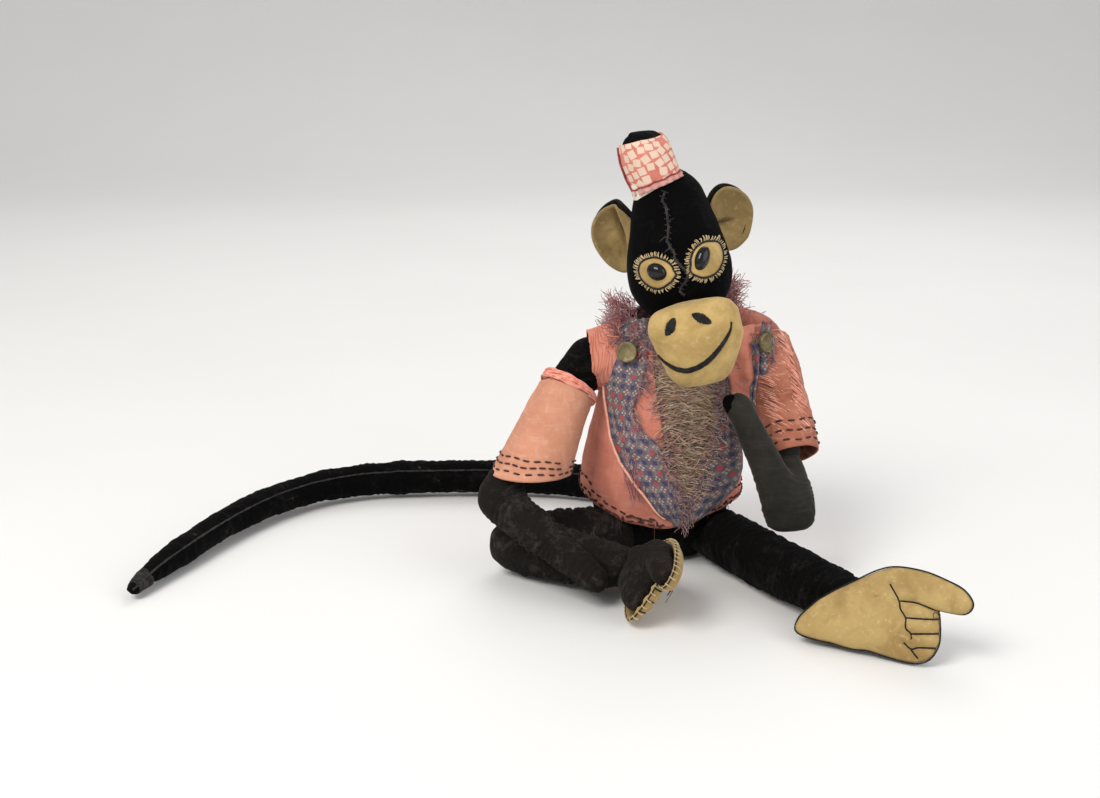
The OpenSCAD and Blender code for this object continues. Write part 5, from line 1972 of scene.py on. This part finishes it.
class MONKEY_OT_head_seam(bpy.types.Operator):
    """Raised seam down the face"""
    bl_idname = "monkey.head_seam"
    bl_label = "Head seam"

    def execute(self, context):
        random.seed("head_seam")
        make_head_seam()
        return {"FINISHED"}


class MONKEY_OT_muzzle(bpy.types.Operator):
    """Velveteen muzzle with its stitched nose and mouth"""
    bl_idname = "monkey.muzzle"
    bl_label = "Muzzle"

    def execute(self, context):
        random.seed("muzzle")
        make_muzzle()
        return {"FINISHED"}


class MONKEY_OT_eyes(bpy.types.Operator):
    """Eye patches, stitches and boot buttons"""
    bl_idname = "monkey.eyes"
    bl_label = "Eyes"

    def execute(self, context):
        random.seed("eyes")
        make_eyes()
        return {"FINISHED"}


class MONKEY_OT_ears(bpy.types.Operator):
    """Two-layer ears"""
    bl_idname = "monkey.ears"
    bl_label = "Ears"

    def execute(self, context):
        random.seed("ears")
        make_ears()
        return {"FINISHED"}


class MONKEY_OT_hat(bpy.types.Operator):
    """Printed fez with its velvet crown"""
    bl_idname = "monkey.hat"
    bl_label = "Hat"

    def execute(self, context):
        random.seed("hat")
        make_hat()
        return {"FINISHED"}


class MONKEY_OT_right_arm(bpy.types.Operator):
    """Velvet arm in a torn sleeve"""
    bl_idname = "monkey.right_arm"
    bl_label = "Right arm"

    def execute(self, context):
        random.seed("right_arm")
        make_right_arm(context.scene.monkey_sizes)
        return {"FINISHED"}


class MONKEY_OT_left_arm(bpy.types.Operator):
    """Cotton arm in a threadbare sleeve"""
    bl_idname = "monkey.left_arm"
    bl_label = "Left arm"

    def execute(self, context):
        random.seed("left_arm")
        make_left_arm(context.scene.monkey_sizes)
        return {"FINISHED"}


class MONKEY_OT_legs(bpy.types.Operator):
    """Crushed velvet legs"""
    bl_idname = "monkey.legs"
    bl_label = "Legs"

    def execute(self, context):
        random.seed("legs")
        make_legs()
        return {"FINISHED"}


class MONKEY_OT_feet(bpy.types.Operator):
    """Feet with padded soles and stitched toes"""
    bl_idname = "monkey.feet"
    bl_label = "Feet"

    def execute(self, context):
        random.seed("feet")
        make_feet()
        return {"FINISHED"}


class MONKEY_OT_tail(bpy.types.Operator):
    """Long velvet tail"""
    bl_idname = "monkey.tail"
    bl_label = "Tail"

    def execute(self, context):
        random.seed("tail")
        make_tail()
        return {"FINISHED"}


class MONKEY_OT_stage(bpy.types.Operator):
    """Floor, lights and camera"""
    bl_idname = "monkey.stage"
    bl_label = "Stage"

    def execute(self, context):
        random.seed("stage")
        make_stage(context.scene.stage_sizes)
        return {"FINISHED"}


OPERATORS = (
    MONKEY_OT_inside,
    MONKEY_OT_torso,
    MONKEY_OT_jacket,
    MONKEY_OT_lapels,
    MONKEY_OT_shirt,
    MONKEY_OT_collar,
    MONKEY_OT_scraps,
    MONKEY_OT_buttons,
    MONKEY_OT_head,
    MONKEY_OT_head_seam,
    MONKEY_OT_muzzle,
    MONKEY_OT_eyes,
    MONKEY_OT_ears,
    MONKEY_OT_hat,
    MONKEY_OT_right_arm,
    MONKEY_OT_left_arm,
    MONKEY_OT_legs,
    MONKEY_OT_feet,
    MONKEY_OT_tail,
    MONKEY_OT_stage,
)


class MONKEY_PT_panel(bpy.types.Panel):
    """Buttons for each group of pieces"""
    bl_idname = "MONKEY_PT_panel"
    bl_label = "Stuffed monkey"
    bl_space_type = "VIEW_3D"
    bl_region_type = "UI"
    bl_category = "Monkey"

    def draw(self, context):
        for operator in OPERATORS:
            self.layout.operator(operator.bl_idname)


CLASSES = [MonkeySizes, StageSizes, *OPERATORS, MONKEY_PT_panel]


def register():
    for kind in CLASSES:
        bpy.utils.register_class(kind)
    bpy.types.Scene.monkey_sizes = bpy.props.PointerProperty(type=MonkeySizes)
    bpy.types.Scene.stage_sizes = bpy.props.PointerProperty(type=StageSizes)


def unregister():
    del bpy.types.Scene.stage_sizes
    del bpy.types.Scene.monkey_sizes
    for kind in reversed(CLASSES):
        bpy.utils.unregister_class(kind)


def main():
    register()
    for operator in OPERATORS:
        getattr(bpy.ops.monkey, operator.bl_idname.split(".")[1])()


if __name__ == "__main__":
    main()
